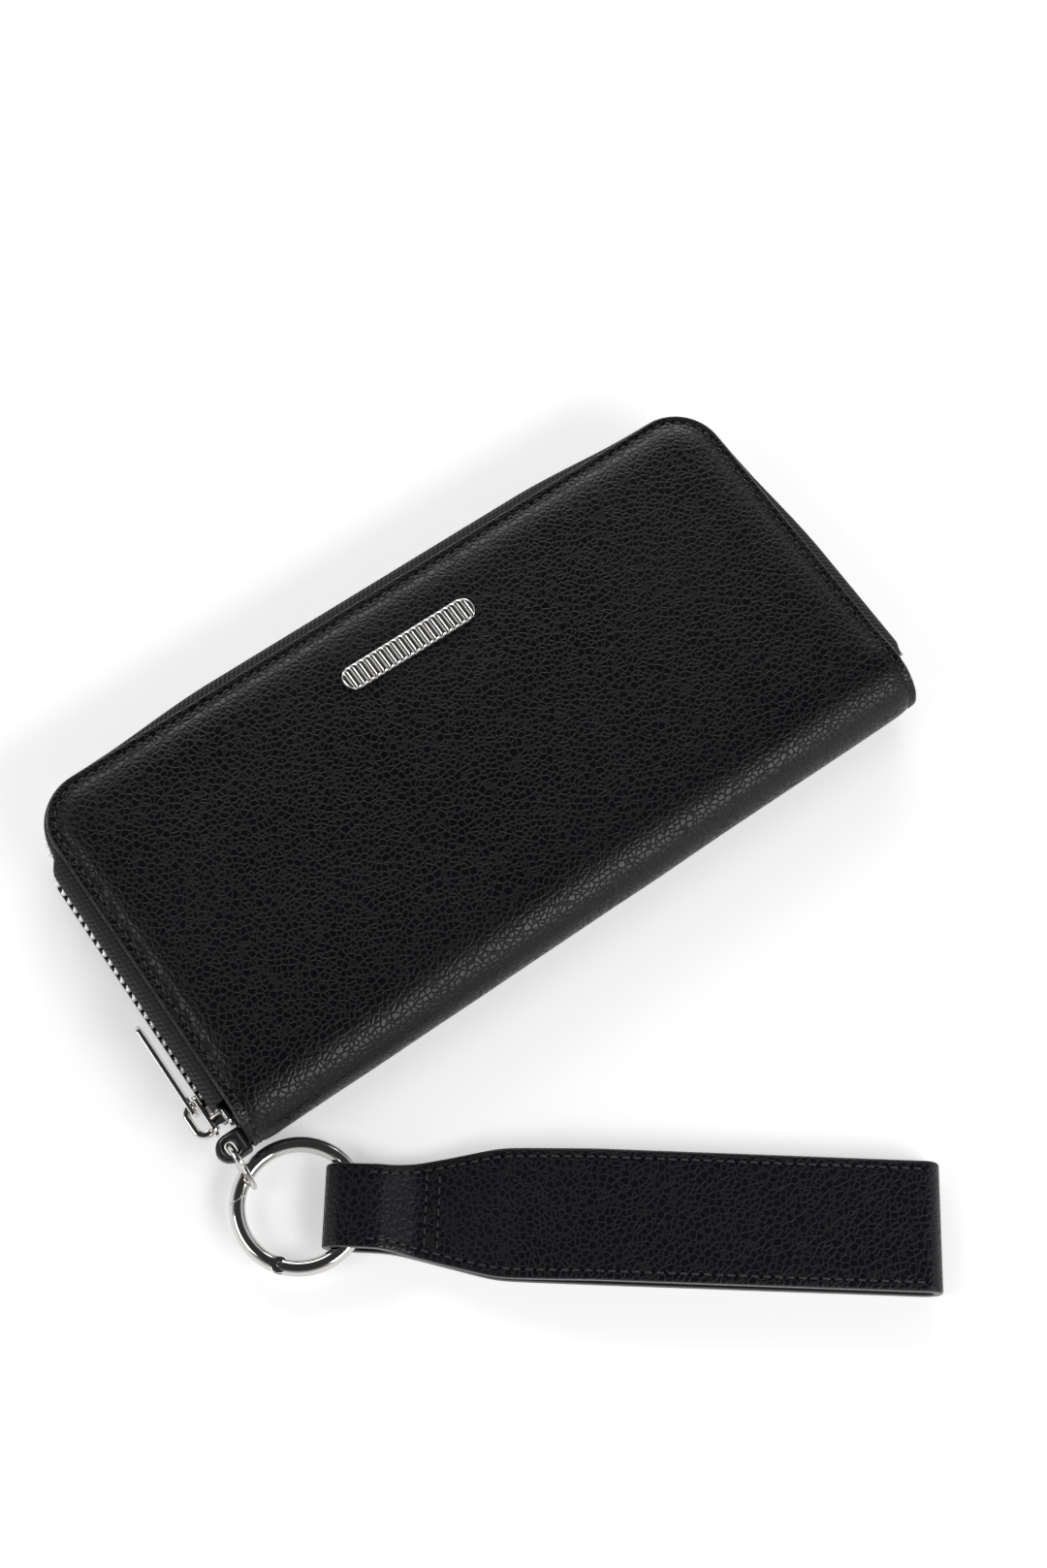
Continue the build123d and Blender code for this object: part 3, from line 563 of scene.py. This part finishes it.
def stitch_along(mesher, line, place, pitch=seam_pitch, length=seam_length):
    """Evenly spaced stitches and dark marks of painted needle-hole shade; place turns a point of the line
    into a spot and its normal.
    """
    travelled, due, hole_due = 0.0, pitch / 2, pitch
    last, _ = place(*line[0])
    for here in line[1:]:
        point, normal = place(*here)
        step = (point - last).length
        travelled += step
        if travelled >= due and step > tiny:
            capsule(mesher, point + normal * thread_radius * thread_lift, point - last, normal, length,
                    thread_radius)
            due += pitch
        if travelled >= hole_due and step > tiny:
            capsule(mesher, point - normal * hole_radius * hole_sink, point - last, normal, hole_length,
                    hole_radius, slot=1)
            hole_due += pitch
        last = point


def seam_stitches(name, line):
    """The stitches of a cover's seam."""
    mesher = Mesher()
    stitch_along(mesher, line, on_sheet)
    return mesher.make(name, [black_thread, needle_hole_shade])


front_sheet = sheet_piece("front_and_spine_leather", 0.0, fold_low)
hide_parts("front_leather", "spine_leather")
back_sheet = sheet_piece("back_cover_leather", fold_low, sheet_length)
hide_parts("back_leather")
front_stitches = seam_stitches("front_and_spine_stitches", seam_line(fold_low))
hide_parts("front_stitching")
back_line = [(x, sheet_length - v) for x, v in seam_line(panel_length)]
back_stitches = seam_stitches("back_cover_stitches", back_line)
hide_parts("back_stitching")

for piece, slot_name in ((front_sheet, "grained_leather"), (front_stitches, "thread")):
    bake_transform(piece)
for piece, slot_name in ((back_sheet, "grained_leather"), (back_stitches, "thread")):
    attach(piece, "back_cover")

# ------------ main zip: tapes and teeth
tape_thickness = 0.5
tape_start = ((-3.0, 2.75), (-0.4, 2.76), (0.9, 2.95), (2.0, 3.5), (2.9, 4.5))
tape_ends = {"back": ((3.6, 5.8), (3.95, 7.2), (3.95, 8.4), (3.75, 9.4)),
             "front": ((3.3, 5.8), (3.4, 7.2), (3.3, 8.4), (3.1, 9.4))}
corner_pull = 0.70       # share of the bulge that the tape loses at the two corners
end_pull = 0.30          # and at the very end away from the slider
zip_start = 0.5
zip_run = edge_y - corner - fold_y - zip_start
zip_width = 2 * (half_length - corner)
zip_bend = pi / 2 * corner
zip_total = 2 * zip_run + 2 * zip_bend + zip_width
zip_offset = 3.2         # the zip stands out this far from the covers' edge
slider_side_fade = 5.0   # the slider's straight run stays full to just before the corner
corner_fade = 40.0
end_fade = 3.0

tooth_pitch = 2.6
tooth_margin = 2.2       # bare tape at both ends
tooth_shift = {"back": -0.45, "front": 0.15}     # each row across from the middle of the zip
# height, half its size across the zip and half its size along it, from the clamp up to the head
tooth_profile = ((8.7, 0.3, 0.18), (8.85, 0.6, 0.32), (9.15, 0.85, 0.40), (9.6, 1.0, 0.43), (10.2, 1.0, 0.43),
                 (10.45, 0.75, 0.36), (11.05, 0.75, 0.36), (11.35, 0.5, 0.24))
tooth_outline = ((-1, -0.6), (-0.6, -1), (0.6, -1), (1, -0.6), (1, 0.6), (0.6, 1), (-0.6, 1), (-1, 0.6))


def zip_corner(side, angle):
    """Outline point and outward direction on one of the two corners."""
    out = (cos(angle), sin(angle))
    return (side * (half_length - corner) + corner * out[0], edge_y - corner + corner * out[1]), out


def zip_place(s):
    """Outline point and outward direction at distance s along the zip."""
    if s < zip_run:
        return (-half_length, fold_y + zip_start + s), (-1.0, 0.0)
    s -= zip_run
    if s < zip_bend:
        return zip_corner(-1, pi - s / corner)
    s -= zip_bend
    if s < zip_width:
        return (-half_length + corner + s, edge_y), (0.0, 1.0)
    s -= zip_width
    if s < zip_bend:
        return zip_corner(1, pi / 2 - s / corner)
    return (half_length, edge_y - corner - (s - zip_bend)), (1.0, 0.0)


def bulge(s):
    """Share of the full bulge at distance s: the zip is pulled in round the corners."""
    pull = 0.0
    first_bend = zip_run + zip_bend / 2
    for bend in (first_bend, zip_total - first_bend):
        fade = slider_side_fade if s < first_bend else corner_fade
        pull = max(pull, 1 - smooth((abs(s - bend) - zip_bend / 2) / fade))
    ending = smooth((s - zip_total + end_fade) / end_fade)
    return 1 - max(corner_pull * pull, end_pull * ending)


def zip_point(s, off, z, side):
    """A point beside the zip line, mirrored for the front cover's half."""
    (x, y), (nx, ny) = zip_place(s)
    if off > 0:
        off *= bulge(s)
    return Vector((x + nx * off, y + ny * off, thickness - z if side == "front" else z))


def tape_section(side):
    """Closed section of a tape: a line thickened to both sides."""
    tape_line = tape_start + tape_ends[side]
    upper, lower = [], []
    for i, (off, z) in enumerate(tape_line):
        before = tape_line[max(i - 1, 0)]
        after = tape_line[min(i + 1, len(tape_line) - 1)]
        dx, dz = after[0] - before[0], after[1] - before[1]
        size = hypot(dx, dz)
        nx, nz = -dz / size * tape_thickness / 2, dx / size * tape_thickness / 2
        upper.append((off + nx, z + nz))
        lower.append((off - nx, z - nz))
    return upper + lower[::-1]


def zip_tape(side):
    """One woven tape that bulges out from under the rim up to its teeth."""
    mesher = Mesher()
    section = tape_section(side)
    lengths = [0.0]
    for a, b in zip(section, section[1:]):
        lengths.append(lengths[-1] + hypot(b[0] - a[0], b[1] - a[1]))
    stations = spaced(0.0, zip_total, 0.8)
    rows = [[zip_point(s, off, z, side) for off, z in section] for s in stations]
    mesher.grid(rows, wrap=True, uv=lambda i, j: (stations[i], lengths[j]), ends=True)
    return mesher.make(f"{side}_woven_tape", [tape_cloth], sharp=50)


def tooth_row(side, stagger):
    """One row of metal teeth: a clamp on the tape's edge and a narrower head that meshes."""
    mesher = Mesher()
    first = tooth_margin + tooth_pitch / 2 + stagger * tooth_pitch
    count = int((zip_total + pi * zip_offset - 2 * (tooth_margin + tooth_pitch)) / tooth_pitch)
    for i in range(count):
        s = path_to_line(first + i * tooth_pitch)
        _, (nx, ny) = zip_place(s)
        out, along = Vector((nx, ny, 0)), Vector((-ny, nx, 0))
        rows = []
        for z, half_across, half_along in tooth_profile:
            middle = zip_point(s, zip_offset + tooth_shift[side], z, side)
            rows.append([middle + out * half_across * a + along * half_along * b for a, b in tooth_outline])
        mesher.grid(rows, wrap=True, ends=True)
    return mesher.make(f"{side}_metal_teeth", [tooth_metal], sharp=50)


def path_to_line(distance):
    """Distance along the row of teeth turned into distance along the cover's edge."""
    long_bend = pi / 2 * (corner + zip_offset)
    line = 0.0
    bend = (long_bend, zip_bend)
    for length, edge in ((zip_run, zip_run), bend, (zip_width, zip_width), bend):
        if distance < length:
            return line + distance * edge / length
        distance -= length
        line += edge
    return line + distance


for side, stagger in (("back", 0.0), ("front", 0.5)):
    fit(zip_tape(side), f"{side}_cover", "zip_tape", f"{side}_zip_tape")
    fit(tooth_row(side, stagger), f"{side}_cover", "nickel_teeth", f"{side}_zip_teeth")


# ------------ small rigid pieces, edges softened
cad_weld = 0.004         # points of the CAD mesh nearer than this are one
flat_angle = 1.0         # faces that meet at less than this are one, degrees
edge_angle = 32.0        # edges sharper than this are rounded over, degrees


def softened(node, body, material, slot_name, bevel, segments=3, name=None):
    """A copy of a CAD piece with its edges rounded over."""
    name = name or f"{node}_finished"
    work = bmesh.new()
    work.from_mesh(nodes[node].data)
    bmesh.ops.remove_doubles(work, verts=work.verts, dist=cad_weld * mm)
    bmesh.ops.dissolve_limit(work, angle_limit=radians(flat_angle), verts=work.verts, edges=work.edges)
    edges = [e for e in work.edges if len(e.link_faces) == 2 and e.calc_face_angle(0) > radians(edge_angle)]
    bmesh.ops.bevel(work, geom=edges, offset=bevel * mm, segments=segments, profile=0.5, affect="EDGES",
                    clamp_overlap=True)
    clean = bpy.data.meshes.new(name)
    work.to_mesh(clean)
    work.free()
    for polygon in clean.polygons:
        polygon.use_smooth = True
        polygon.material_index = 0
    clean.materials.append(material)
    clean.set_sharp_from_angle(angle=radians(38))
    piece = bpy.data.objects.new(name, clean)
    bpy.context.collection.objects.link(piece)
    fit(piece, body, slot_name, node)
    return piece


for node, body, material, bevel in (
        ("zip_slider", "zip_slider", bright, 0.35), ("slider_bridge", "zip_slider", bright, 0.55),
        ("pull_tab", "pull_tab", bright, 0.2), ("coin_slider", "coin_slider", satin, 0.15),
        ("coin_tab", "coin_tab", satin, 0.15), ("ring_body", "carry_ring", bright, 0.12),
        ("ring_gate", "ring_gate", bright, 0.12), ("gate_pin", "carry_ring", bright, 0.1),
        ("gate_spring", "carry_ring", satin, 0.08)):
    softened(node, body, material, "polished_nickel", bevel)
for side in ("back", "front"):
    softened(f"{side}_zip_stops", f"{side}_cover", tooth_metal, "nickel_teeth", 0.2)
softened("coin_zip_teeth", "divider", tooth_metal, "nickel_teeth", 0.1, segments=1)


def wire_link(wire=1.6, turn=4.0):
    """The oval link as one smooth round wire on the line of its CAD piece; turn is its ends' radius."""
    low, high = box_of("oval_link")
    bend = turn - wire / 2
    middle = (low + high) / 2
    run = Vector((0, -(high.y - low.y) / 2 + turn, -(high.z - low.z) / 2 + turn))
    along = run.normalized()
    across = Vector((0, along.z, -along.y))
    line = []
    for end in (1, -1):
        for angle in [-pi / 2 + pi * k / 32 for k in range(33)]:
            spoke = along * cos(angle) + across * sin(angle)
            line.append((middle + run * end + spoke * bend * end, spoke * end))
    dense = []
    for (a, spoke), (b, _) in zip(line, line[1:] + line[:1]):
        steps = max(1, int((b - a).length / 0.8))
        dense += [(a.lerp(b, k / steps), spoke) for k in range(steps)]
    mesher = Mesher()
    sideways = Vector((1, 0, 0))
    mesher.grid([[spot + out * wire / 2 for out in around(spoke, sideways, 24)] for spot, spoke in dense],
                wrap=True, wrap_rows=True)
    return mesher.make("oval_link_wire", [bright])


fit(wire_link(), "oval_link", "polished_nickel", "oval_link")


def badge(plate=0.42, reed_pitch=1.9, reed_end=1.1, blunt=0.12):
    """The metal bar on the cover: a thin plate with rounded ends and a row of half-round reeds across it."""
    low, high = box_of("badge_bar")
    half_y = (high.y - low.y) / 2
    centre = (low + high) / 2
    length = high.x - low.x
    reeds = round(length / reed_pitch)
    steps = 10
    rows = []
    for k in range(reeds * steps + 1):
        along = -length / 2 + length / reeds * k / steps
        past = max(abs(along) - (length / 2 - half_y), 0.0)
        reach = max(sqrt(max(half_y**2 - past**2, 0.0)), blunt)
        across_reed = 2 * (k % steps) / steps - 1
        swell = (high.z - low.z - plate) * sqrt(max(1 - across_reed**2, 0.0))
        row = [(centre.x + along, centre.y - reach, low.z)]
        for share in spaced(-1.0, 1.0, 0.1):
            end_fall = sqrt(max(1 - max(1 - (1 - abs(share)) * reach / reed_end, 0.0) ** 2, 0.0))
            row.append((centre.x + along, centre.y + share * reach, low.z + plate + swell * end_fall))
        row.append((centre.x + along, centre.y + reach, low.z))
        rows.append(row)
    mesher = Mesher()
    mesher.grid(rows, wrap=True, ends=True)
    return mesher.make("badge_bar_reeded", [bright], sharp=60)


fit(badge(), "front_cover", "polished_nickel", "badge_bar")

# ------------ wrist strap
strap_wall = 2.0
strap_leather = 1.2      # the outer leather's share of the wall
nose_height, pinch_height, far_height = 8.3, 4.0, 8.4
strap_length = 142.0
strap_narrow, strap_wide = 9.5, 15.0             # half widths
taper_start, taper_end, taper_soft = 16.0, 40.0, 3.0
strap_seam = 2.0         # stitches to the strap's edges
seam_from, seam_to = 9.0, strap_length - 4.0
bar_places = (23.2, 26.2)                        # two rows sewn across the pinch
bar_inset, bar_pitch = 2.6, 2.5
strap_heading = radians(-37.0)
ring_wire = 3.8
ring_centre_x = -95.9
nose_gap = 0.25          # strap to the inside of the ring
ring_low, ring_high = box_of("ring_body")
ring_centre = Vector((ring_centre_x, (ring_low.y + ring_high.y) / 2, 0))
ring_inner = (ring_high.y - ring_low.y) / 2 - ring_wire
nose_offset = sqrt(ring_inner**2 - strap_narrow**2) - nose_gap - strap_wall
strap_axis = Vector((cos(strap_heading), sin(strap_heading), 0))
strap_cross = Vector((-sin(strap_heading), cos(strap_heading), 0))
upwards = Vector((0, 0, 1))
strap_start = ring_centre + strap_axis * nose_offset


def strap_half(s):
    """Half the strap's width at distance s."""
    def soft(x):
        return 0.5 * (x + sqrt(x * x + taper_soft**2))

    share = (soft(s - taper_start) - soft(s - taper_end)) / (taper_end - taper_start)
    return strap_narrow + (strap_wide - strap_narrow) * share


def fillet_path(corners, radii, step):
    """Closed path with a rounded turn at each corner, as dense points with outward normals."""
    path = []
    count = len(corners)
    for i in range(count):
        before, here, after = (Vector(corners[(i + k) % count]) for k in (-1, 0, 1))
        first, second = (before - here).normalized(), (after - here).normalized()
        angle = first.angle(second)
        reach = radii[i] / tan(angle / 2)
        centre = here + (first + second).normalized() * radii[i] / sin(angle / 2)
        a, b = here + first * reach - centre, here + second * reach - centre
        sweep = a.angle_signed(b)
        start = atan2(a.y, a.x)
        turns = max(4, ceil(abs(sweep) * radii[i] / step))
        for k in range(turns + 1):
            angle_here = start - sweep * k / turns
            path.append(centre + Vector((cos(angle_here), sin(angle_here))) * radii[i])
    dense = []
    for a, b in zip(path, path[1:] + path[:1]):
        size = (b - a).length
        steps = ceil(size / step) if size >= 100 * tiny else 0
        dense += [a + (b - a) * k / steps for k in range(steps)]
    return dense


def strap_spot(s, across, height):
    """The place of a strap point: distance from its nose, distance across it, and height."""
    return strap_start + strap_axis * s + strap_cross * across + upwards * height


def strap_path():
    """The folded strap seen from its side: points with outward directions."""
    corners = [(0, 0), (0, nose_height), (12.5, nose_height), (21, pinch_height), (28.5, pinch_height),
               (62, far_height), (strap_length, far_height), (strap_length, 0)]
    almost = 0.02
    radii = [nose_height / 2 - almost] * 2 + [6.0, 6.0, 12.0, 30.0] + [far_height / 2 - almost] * 2
    path = fillet_path(corners, radii, 0.8)
    frames = []
    for k, point in enumerate(path):
        along = (path[(k + 1) % len(path)] - path[k - 1]).normalized()
        frames.append((point, Vector((-along.y, along.x))))
    return frames


def strap_band(frames):
    """Outer leather, painted edge and lining as one closed band."""
    leather_side = [(-1.0, 0.35), (-0.985, 0.12)] + [(b, 0.0) for b in spaced(-0.96, 0.96, 0.08)]
    leather_side += [(0.985, 0.12), (1.0, 0.35)]
    edge_right = [(1.0, strap_leather - 0.15), (0.992, strap_leather), (1.0, strap_leather + 0.15),
                  (1.0, strap_wall - 0.2), (0.985, strap_wall)]
    lining_side = [(b, strap_wall) for b in spaced(0.9, -0.9, 0.3)]
    edge_left = [(-b, depth) for b, depth in reversed(edge_right)]
    section = leather_side + edge_right + lining_side + edge_left
    outer_count = len(leather_side)
    right_end = outer_count + len(edge_right)
    left_start = right_end + len(lining_side)
    rows = []
    for point, out in frames:
        half = strap_half(point.x)
        spots = [(b, point - out * depth) for b, depth in section]
        rows.append([strap_spot(spot.x, b * half, spot.y) for b, spot in spots])

    def pick(i, j):
        if 1 <= j < outer_count - 2:
            return 0
        return 2 if right_end <= j + 1 and j < left_start else 1

    mesher = Mesher()
    mesher.grid(rows, pick, wrap=True, wrap_rows=True)
    return mesher.make("strap_band", [strap_grain_lightened, edge_paint_and_sheen, plain_leather])


def strap_stitches(frames):
    """A row of stitches along both edges of the upper side, and the rows across the pinch."""
    upper = [(point, out) for point, out in frames if point.y > strap_wall and seam_from < point.x < seam_to]
    upper.sort(key=lambda item: item[0].x)
    shares = (0.0, 0.25, 0.5, 0.75)
    line = [(p.lerp(q, t), o.lerp(r, t)) for (p, o), (q, r) in zip(upper, upper[1:]) for t in shares]
    threads = Mesher()
    for side in (-1, 1):
        def beside_edge(point, out):
            spot = strap_spot(point.x, side * (strap_half(point.x) - strap_seam), point.y)
            return spot, (strap_axis * out.x + upwards * out.y).normalized()

        stitch_along(threads, line, beside_edge, length=2.0)
    for s in bar_places:
        def on_bar(across):
            return strap_spot(s, across, pinch_height), upwards

        reach = strap_half(s) - bar_inset
        stitch_along(threads, [(y,) for y in spaced(-reach, reach, seam_step)], on_bar, bar_pitch)
    return threads.make("strap_stitches", [black_thread, needle_hole_shade])


strap_frames = strap_path()
fit(strap_band(strap_frames), "wrist_strap", "grained_leather", "strap_leather", "strap_lining")
fit(strap_stitches(strap_frames), "wrist_strap", "thread", "strap_stitching")

# ------------ keeper loop beside the zip's closed end
keeper_low, keeper_high = box_of("keeper_loop")
keeper_near = -half_length - 0.1
keeper_thick = 2.4       # folded strip at its outer end
keeper_root = 3.1        # and beside the wallet
keeper_wall = 1.3        # wall that carries the link
keeper_far_wall = 1.6
keeper_bend = 3.6
keeper_tail = 3.5        # width of the tail that runs into the spine
# share from the outside to the hole, and share of half the height: two thick walls with a groove between
keeper_section = ((0.16, -0.97), (0.03, -0.8), (0.0, 0.0), (0.03, 0.8), (0.16, 0.97), (0.32, 1.0),
                  (0.42, 0.9), (0.5, 0.86), (0.58, 0.9), (0.68, 1.0), (0.84, 0.97), (0.97, 0.8), (1.0, 0.0),
                  (0.97, -0.8), (0.84, -0.97), (0.5, -1.0))


def keeper_band():
    """A thick folded strip of leather round the link, whose ends run into the spine."""
    far, low, high = keeper_low.x, keeper_low.y, keeper_high.y
    corners = [(far, low), (far, high), (keeper_near, high), (keeper_near, low)]
    path = fillet_path(corners, [keeper_bend, keeper_bend, 0.8, 0.8], 0.3)
    middle_z = (keeper_low.z + keeper_high.z) / 2
    tall = (keeper_high.z - keeper_low.z) / 2
    hole_low = Vector((far + keeper_thick, low + keeper_wall))
    hole_high = Vector((keeper_near - keeper_root, high - keeper_far_wall))
    hole_middle, hole_half = (hole_low + hole_high) / 2, (hole_high - hole_low) / 2
    rows = []
    for point in path:
        out = point - hole_middle
        inner = hole_middle + out / (abs(out.x / hole_half.x) ** 3 + abs(out.y / hole_half.y) ** 3) ** (1 / 3)
        rows.append([(*point.lerp(inner, share), middle_z + up * tall) for share, up in keeper_section])
    mesher = Mesher()
    mesher.grid(rows, lambda i, j: 1 if 5 <= j <= 8 else 0, wrap=True, wrap_rows=True)
    tail = ((high - keeper_tail, -tall), (high, -tall), (high, tall), (high - keeper_tail, tall))
    mesher.grid([[(x, y, middle_z + z) for y, z in tail] for x in spaced(keeper_near, keeper_high.x, 1.0)],
                wrap=True, ends=True)
    return mesher.make("keeper_band", [plain_leather, edge_paint_and_sheen])


fit(keeper_band(), "back_cover", "smooth_leather", "keeper_loop")


# ------------ inside: panels, pads, pockets, gussets
panel_edge = 0.12        # a panel's edges are thinner by this share on both faces
panel_edge_reach = 1.0


def panel(node, body, material, slot_name, radius=2.0):
    """A sewn panel in the place of a CAD sheet, with soft corners and thinned edges."""
    low, high = box_of(node)
    mesher = Mesher()
    ys = [high.y - radius * (1 - cos(pi / 2 * k / 8)) for k in range(9)]
    ys += spaced(high.y - radius, low.y, 4.0)[1:]
    shares = [-1.0, -0.995, -0.98] + spaced(-0.95, 0.95, 0.05) + [0.98, 0.995, 1.0]
    half, middle_x = (high.x - low.x) / 2, (high.x + low.x) / 2
    top_rows, low_rows = [], []
    for y in ys:
        ahead = high.y - y
        reach = half - radius + sqrt(max(radius**2 - max(radius - ahead, 0) ** 2, 0))
        top_row, low_row = [], []
        for share in shares:
            inset = min((1 - abs(share)) * reach, ahead, y - low.y)
            thin = panel_edge * (1 - smooth(inset / panel_edge_reach)) * (high.z - low.z)
            top_row.append((middle_x + share * reach, y, high.z - thin))
            low_row.append((middle_x + share * reach, y, low.z + thin))
        top_rows.append(top_row)
        low_rows.append(low_row)
    mesher.grid(top_rows)
    mesher.grid(low_rows)
    outlines = [[r[0] for r in rows] + rows[-1][1:-1] + [r[-1] for r in reversed(rows)] + rows[0][-2:0:-1]
                for rows in (top_rows, low_rows)]
    mesher.grid(outlines, wrap=True)
    fit(mesher.make(f"{node}_sewn", [material], sharp=60), body, slot_name, node)


for side in ("back", "front"):
    body = f"{side}_cover"
    panel(f"{side}_lining", body, lining_cloth, "lining_cloth", corner - 3.5)
    panel(f"{side}_bill_pocket", body, lining_cloth, "lining_cloth", 3.0)
    panel(f"{side}_board", body, board_stuff, "board", corner - 5.2)
    for number in range(1, 5):
        panel(f"{side}_card_slot_{number}", body, plain_leather, "smooth_leather")
    padding = softened(f"{side}_foam", body, foam_stuff, "padding", 0.3, name=f"{side}_padding")
softened("spine_lining", "back_cover", lining_cloth, "lining_cloth", 0.1, segments=1)
softened("coin_pocket", "divider", lining_cloth, "lining_cloth", 0.15, segments=2)
softened("coin_zip_tapes", "divider", tape_cloth, "zip_tape", 0.08, segments=1)
for side in ("left", "right"):
    softened(f"{side}_tape_end", "back_cover", tape_cloth, "zip_tape", 0.5)


def gusset(name, side, low_z, high_z, stands_for):
    """Half an accordion gusset: a sheet folded once between two panels."""
    box_low, box_high = box_of(f"{side}_back_gusset")
    outer, inner = (box_low.x, box_high.x) if side == "left" else (box_high.x, box_low.x)
    half_rise = (high_z - low_z) / 2
    shares = spaced(0.0, 1.0, 0.125)
    line = [(outer + (inner - outer) * t, low_z + half_rise * smooth(t)) for t in shares]
    line += [(inner + (outer - inner) * t, low_z + half_rise * (1 + smooth(t))) for t in shares[1:]]
    mesher = Mesher()
    mesher.grid([[(x, y, z) for x, z in line] for y in spaced(box_low.y, box_high.y, 2.0)])
    piece = mesher.make(name, [lining_cloth], sharp=70)
    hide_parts(*stands_for)
    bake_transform(piece)


leaf_gap = 0.2           # gusset to coin pocket
pouch_low, pouch_high = [p[2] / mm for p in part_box("coin_pocket")]
leaf_low = sum(p[2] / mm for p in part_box("left_back_gusset")) / 2
leaf_high = thickness - leaf_low
for side in ("left", "right"):
    gusset(f"{side}_lower_gusset", side, leaf_low, pouch_low - leaf_gap,
           (f"{side}_back_gusset", f"{side}_divider_gusset"))
    gusset(f"{side}_upper_gusset", side, pouch_high + leaf_gap, leaf_high,
           (f"{side}_front_gusset",))

# ------------ floor, light and camera
floor_reach = 3.0        # metres
floor_drop = 0.02
# direction upwards, and how bright the studio is there
studio_bands = ((0.0, 1.0), (0.14, 1.0), (0.30, 0.70), (0.50, 0.50), (0.62, 0.22), (0.72, 0.05), (1.0, 0.04))


def floor_material():
    """Pale paper, brighter away from the wallet where it is looked at."""
    n = Nodes("pale_floor")
    n.set("Base Color", (0.82, 0.82, 0.82, 1))
    n.set("Roughness", 0.9)
    n.set("Specular IOR Level", 0.1)
    rays = n.add("ShaderNodeLightPath")
    seen = n.math("MAXIMUM", rays.outputs["Is Camera Ray"], rays.outputs["Is Glossy Ray"])
    seen = n.math("MAXIMUM", seen, rays.outputs["Is Transmission Ray"])
    away = n.add("ShaderNodeVectorMath", operation="LENGTH")
    n.link(n.place(), away.inputs[0])
    glow = n.spread(away.outputs["Value"], 0.20, 1.0, 0.40, 1.0)
    n.set("Emission Color", (1, 1, 1, 1))
    n.set("Emission Strength", n.math("MULTIPLY", seen, glow))
    return n.material


def studio_world():
    """A grey studio that is dark overhead and pale near the horizon."""
    world = bpy.data.worlds.new("studio")
    world.use_nodes = True
    tree = world.node_tree
    background = tree.nodes["Background"]
    background.inputs["Color"].default_value = (1, 1, 1, 1)
    height = tree.nodes.new("ShaderNodeSeparateXYZ")
    tree.links.new(tree.nodes.new("ShaderNodeTexCoord").outputs["Generated"], height.inputs[0])
    ceiling = tree.nodes.new("ShaderNodeValToRGB")
    for _ in studio_bands[2:]:
        ceiling.color_ramp.elements.new(0.5)
    for element, (place, level) in zip(ceiling.color_ramp.elements, studio_bands):
        element.position, element.color = place, (level, level, level, 1)
    tree.links.new(height.outputs["Z"], ceiling.inputs["Fac"])
    tree.links.new(ceiling.outputs["Color"], background.inputs["Strength"])
    return world


floor_mesh = bpy.data.meshes.new("floor")
floor_corners = ((-1, -1), (1, -1), (1, 1), (-1, 1))
floor_mesh.from_pydata([(floor_reach * x, floor_reach * y, 0) for x, y in floor_corners], [], [(0, 1, 2, 3)])
floor_mesh.materials.append(floor_material())
floor = bpy.data.objects.new("floor", floor_mesh)
floor.location.z = -floor_drop * mm
bpy.context.collection.objects.link(floor)
bpy.context.scene.world = studio_world()


lamp_target = Vector((0, -0.02, 0.01))


def softbox(name, place, size, energy):
    """A soft area lamp aimed at the middle of the wallet; all sizes in metres."""
    lamp = bpy.data.lights.new(name, "AREA")
    lamp.shape = "RECTANGLE"
    lamp.size, lamp.size_y = size
    lamp.energy = energy
    holder = bpy.data.objects.new(name, lamp)
    holder.location = place
    holder.rotation_euler = (lamp_target - Vector(place)).to_track_quat("-Z", "Y").to_euler()
    bpy.context.collection.objects.link(holder)


softbox("key_softbox", (0.26, -0.84, 0.68), (0.75, 0.30), 5.8)
softbox("left_softbox", (-0.78, 0.20, 0.74), (0.5, 0.4), 2.6)
softbox("back_softbox", (0.50, 0.98, 0.46), (1.3, 0.7), 9.0)

view_target = Vector((4.66, -10.58, 10.0))
view_distance = 565.0
azimuth, tilt, roll = radians(-41.6), radians(21.2), radians(6.7)
back_axis = Vector((sin(azimuth) * sin(tilt), -cos(azimuth) * sin(tilt), cos(tilt)))
up_hint = Vector((-sin(azimuth) * cos(tilt), cos(azimuth) * cos(tilt), sin(tilt)))
right_axis = up_hint.cross(back_axis).normalized()
up_axis = back_axis.cross(right_axis)
rolled_right = right_axis * cos(roll) + up_axis * sin(roll)
rolled_up = up_axis * cos(roll) - right_axis * sin(roll)
camera_data = bpy.data.cameras.new("camera")
camera_data.lens = 53.4
camera_data.sensor_width = 36.0
camera_data.clip_start = 10 * mm
camera = bpy.data.objects.new("camera", camera_data)
turn = Matrix((rolled_right, rolled_up, back_axis)).transposed().to_4x4()
camera.matrix_world = Matrix.Translation((view_target + back_axis * view_distance) * mm) @ turn
bpy.context.collection.objects.link(camera)
bpy.context.scene.camera = camera
bpy.context.scene.view_settings.view_transform = "Standard"
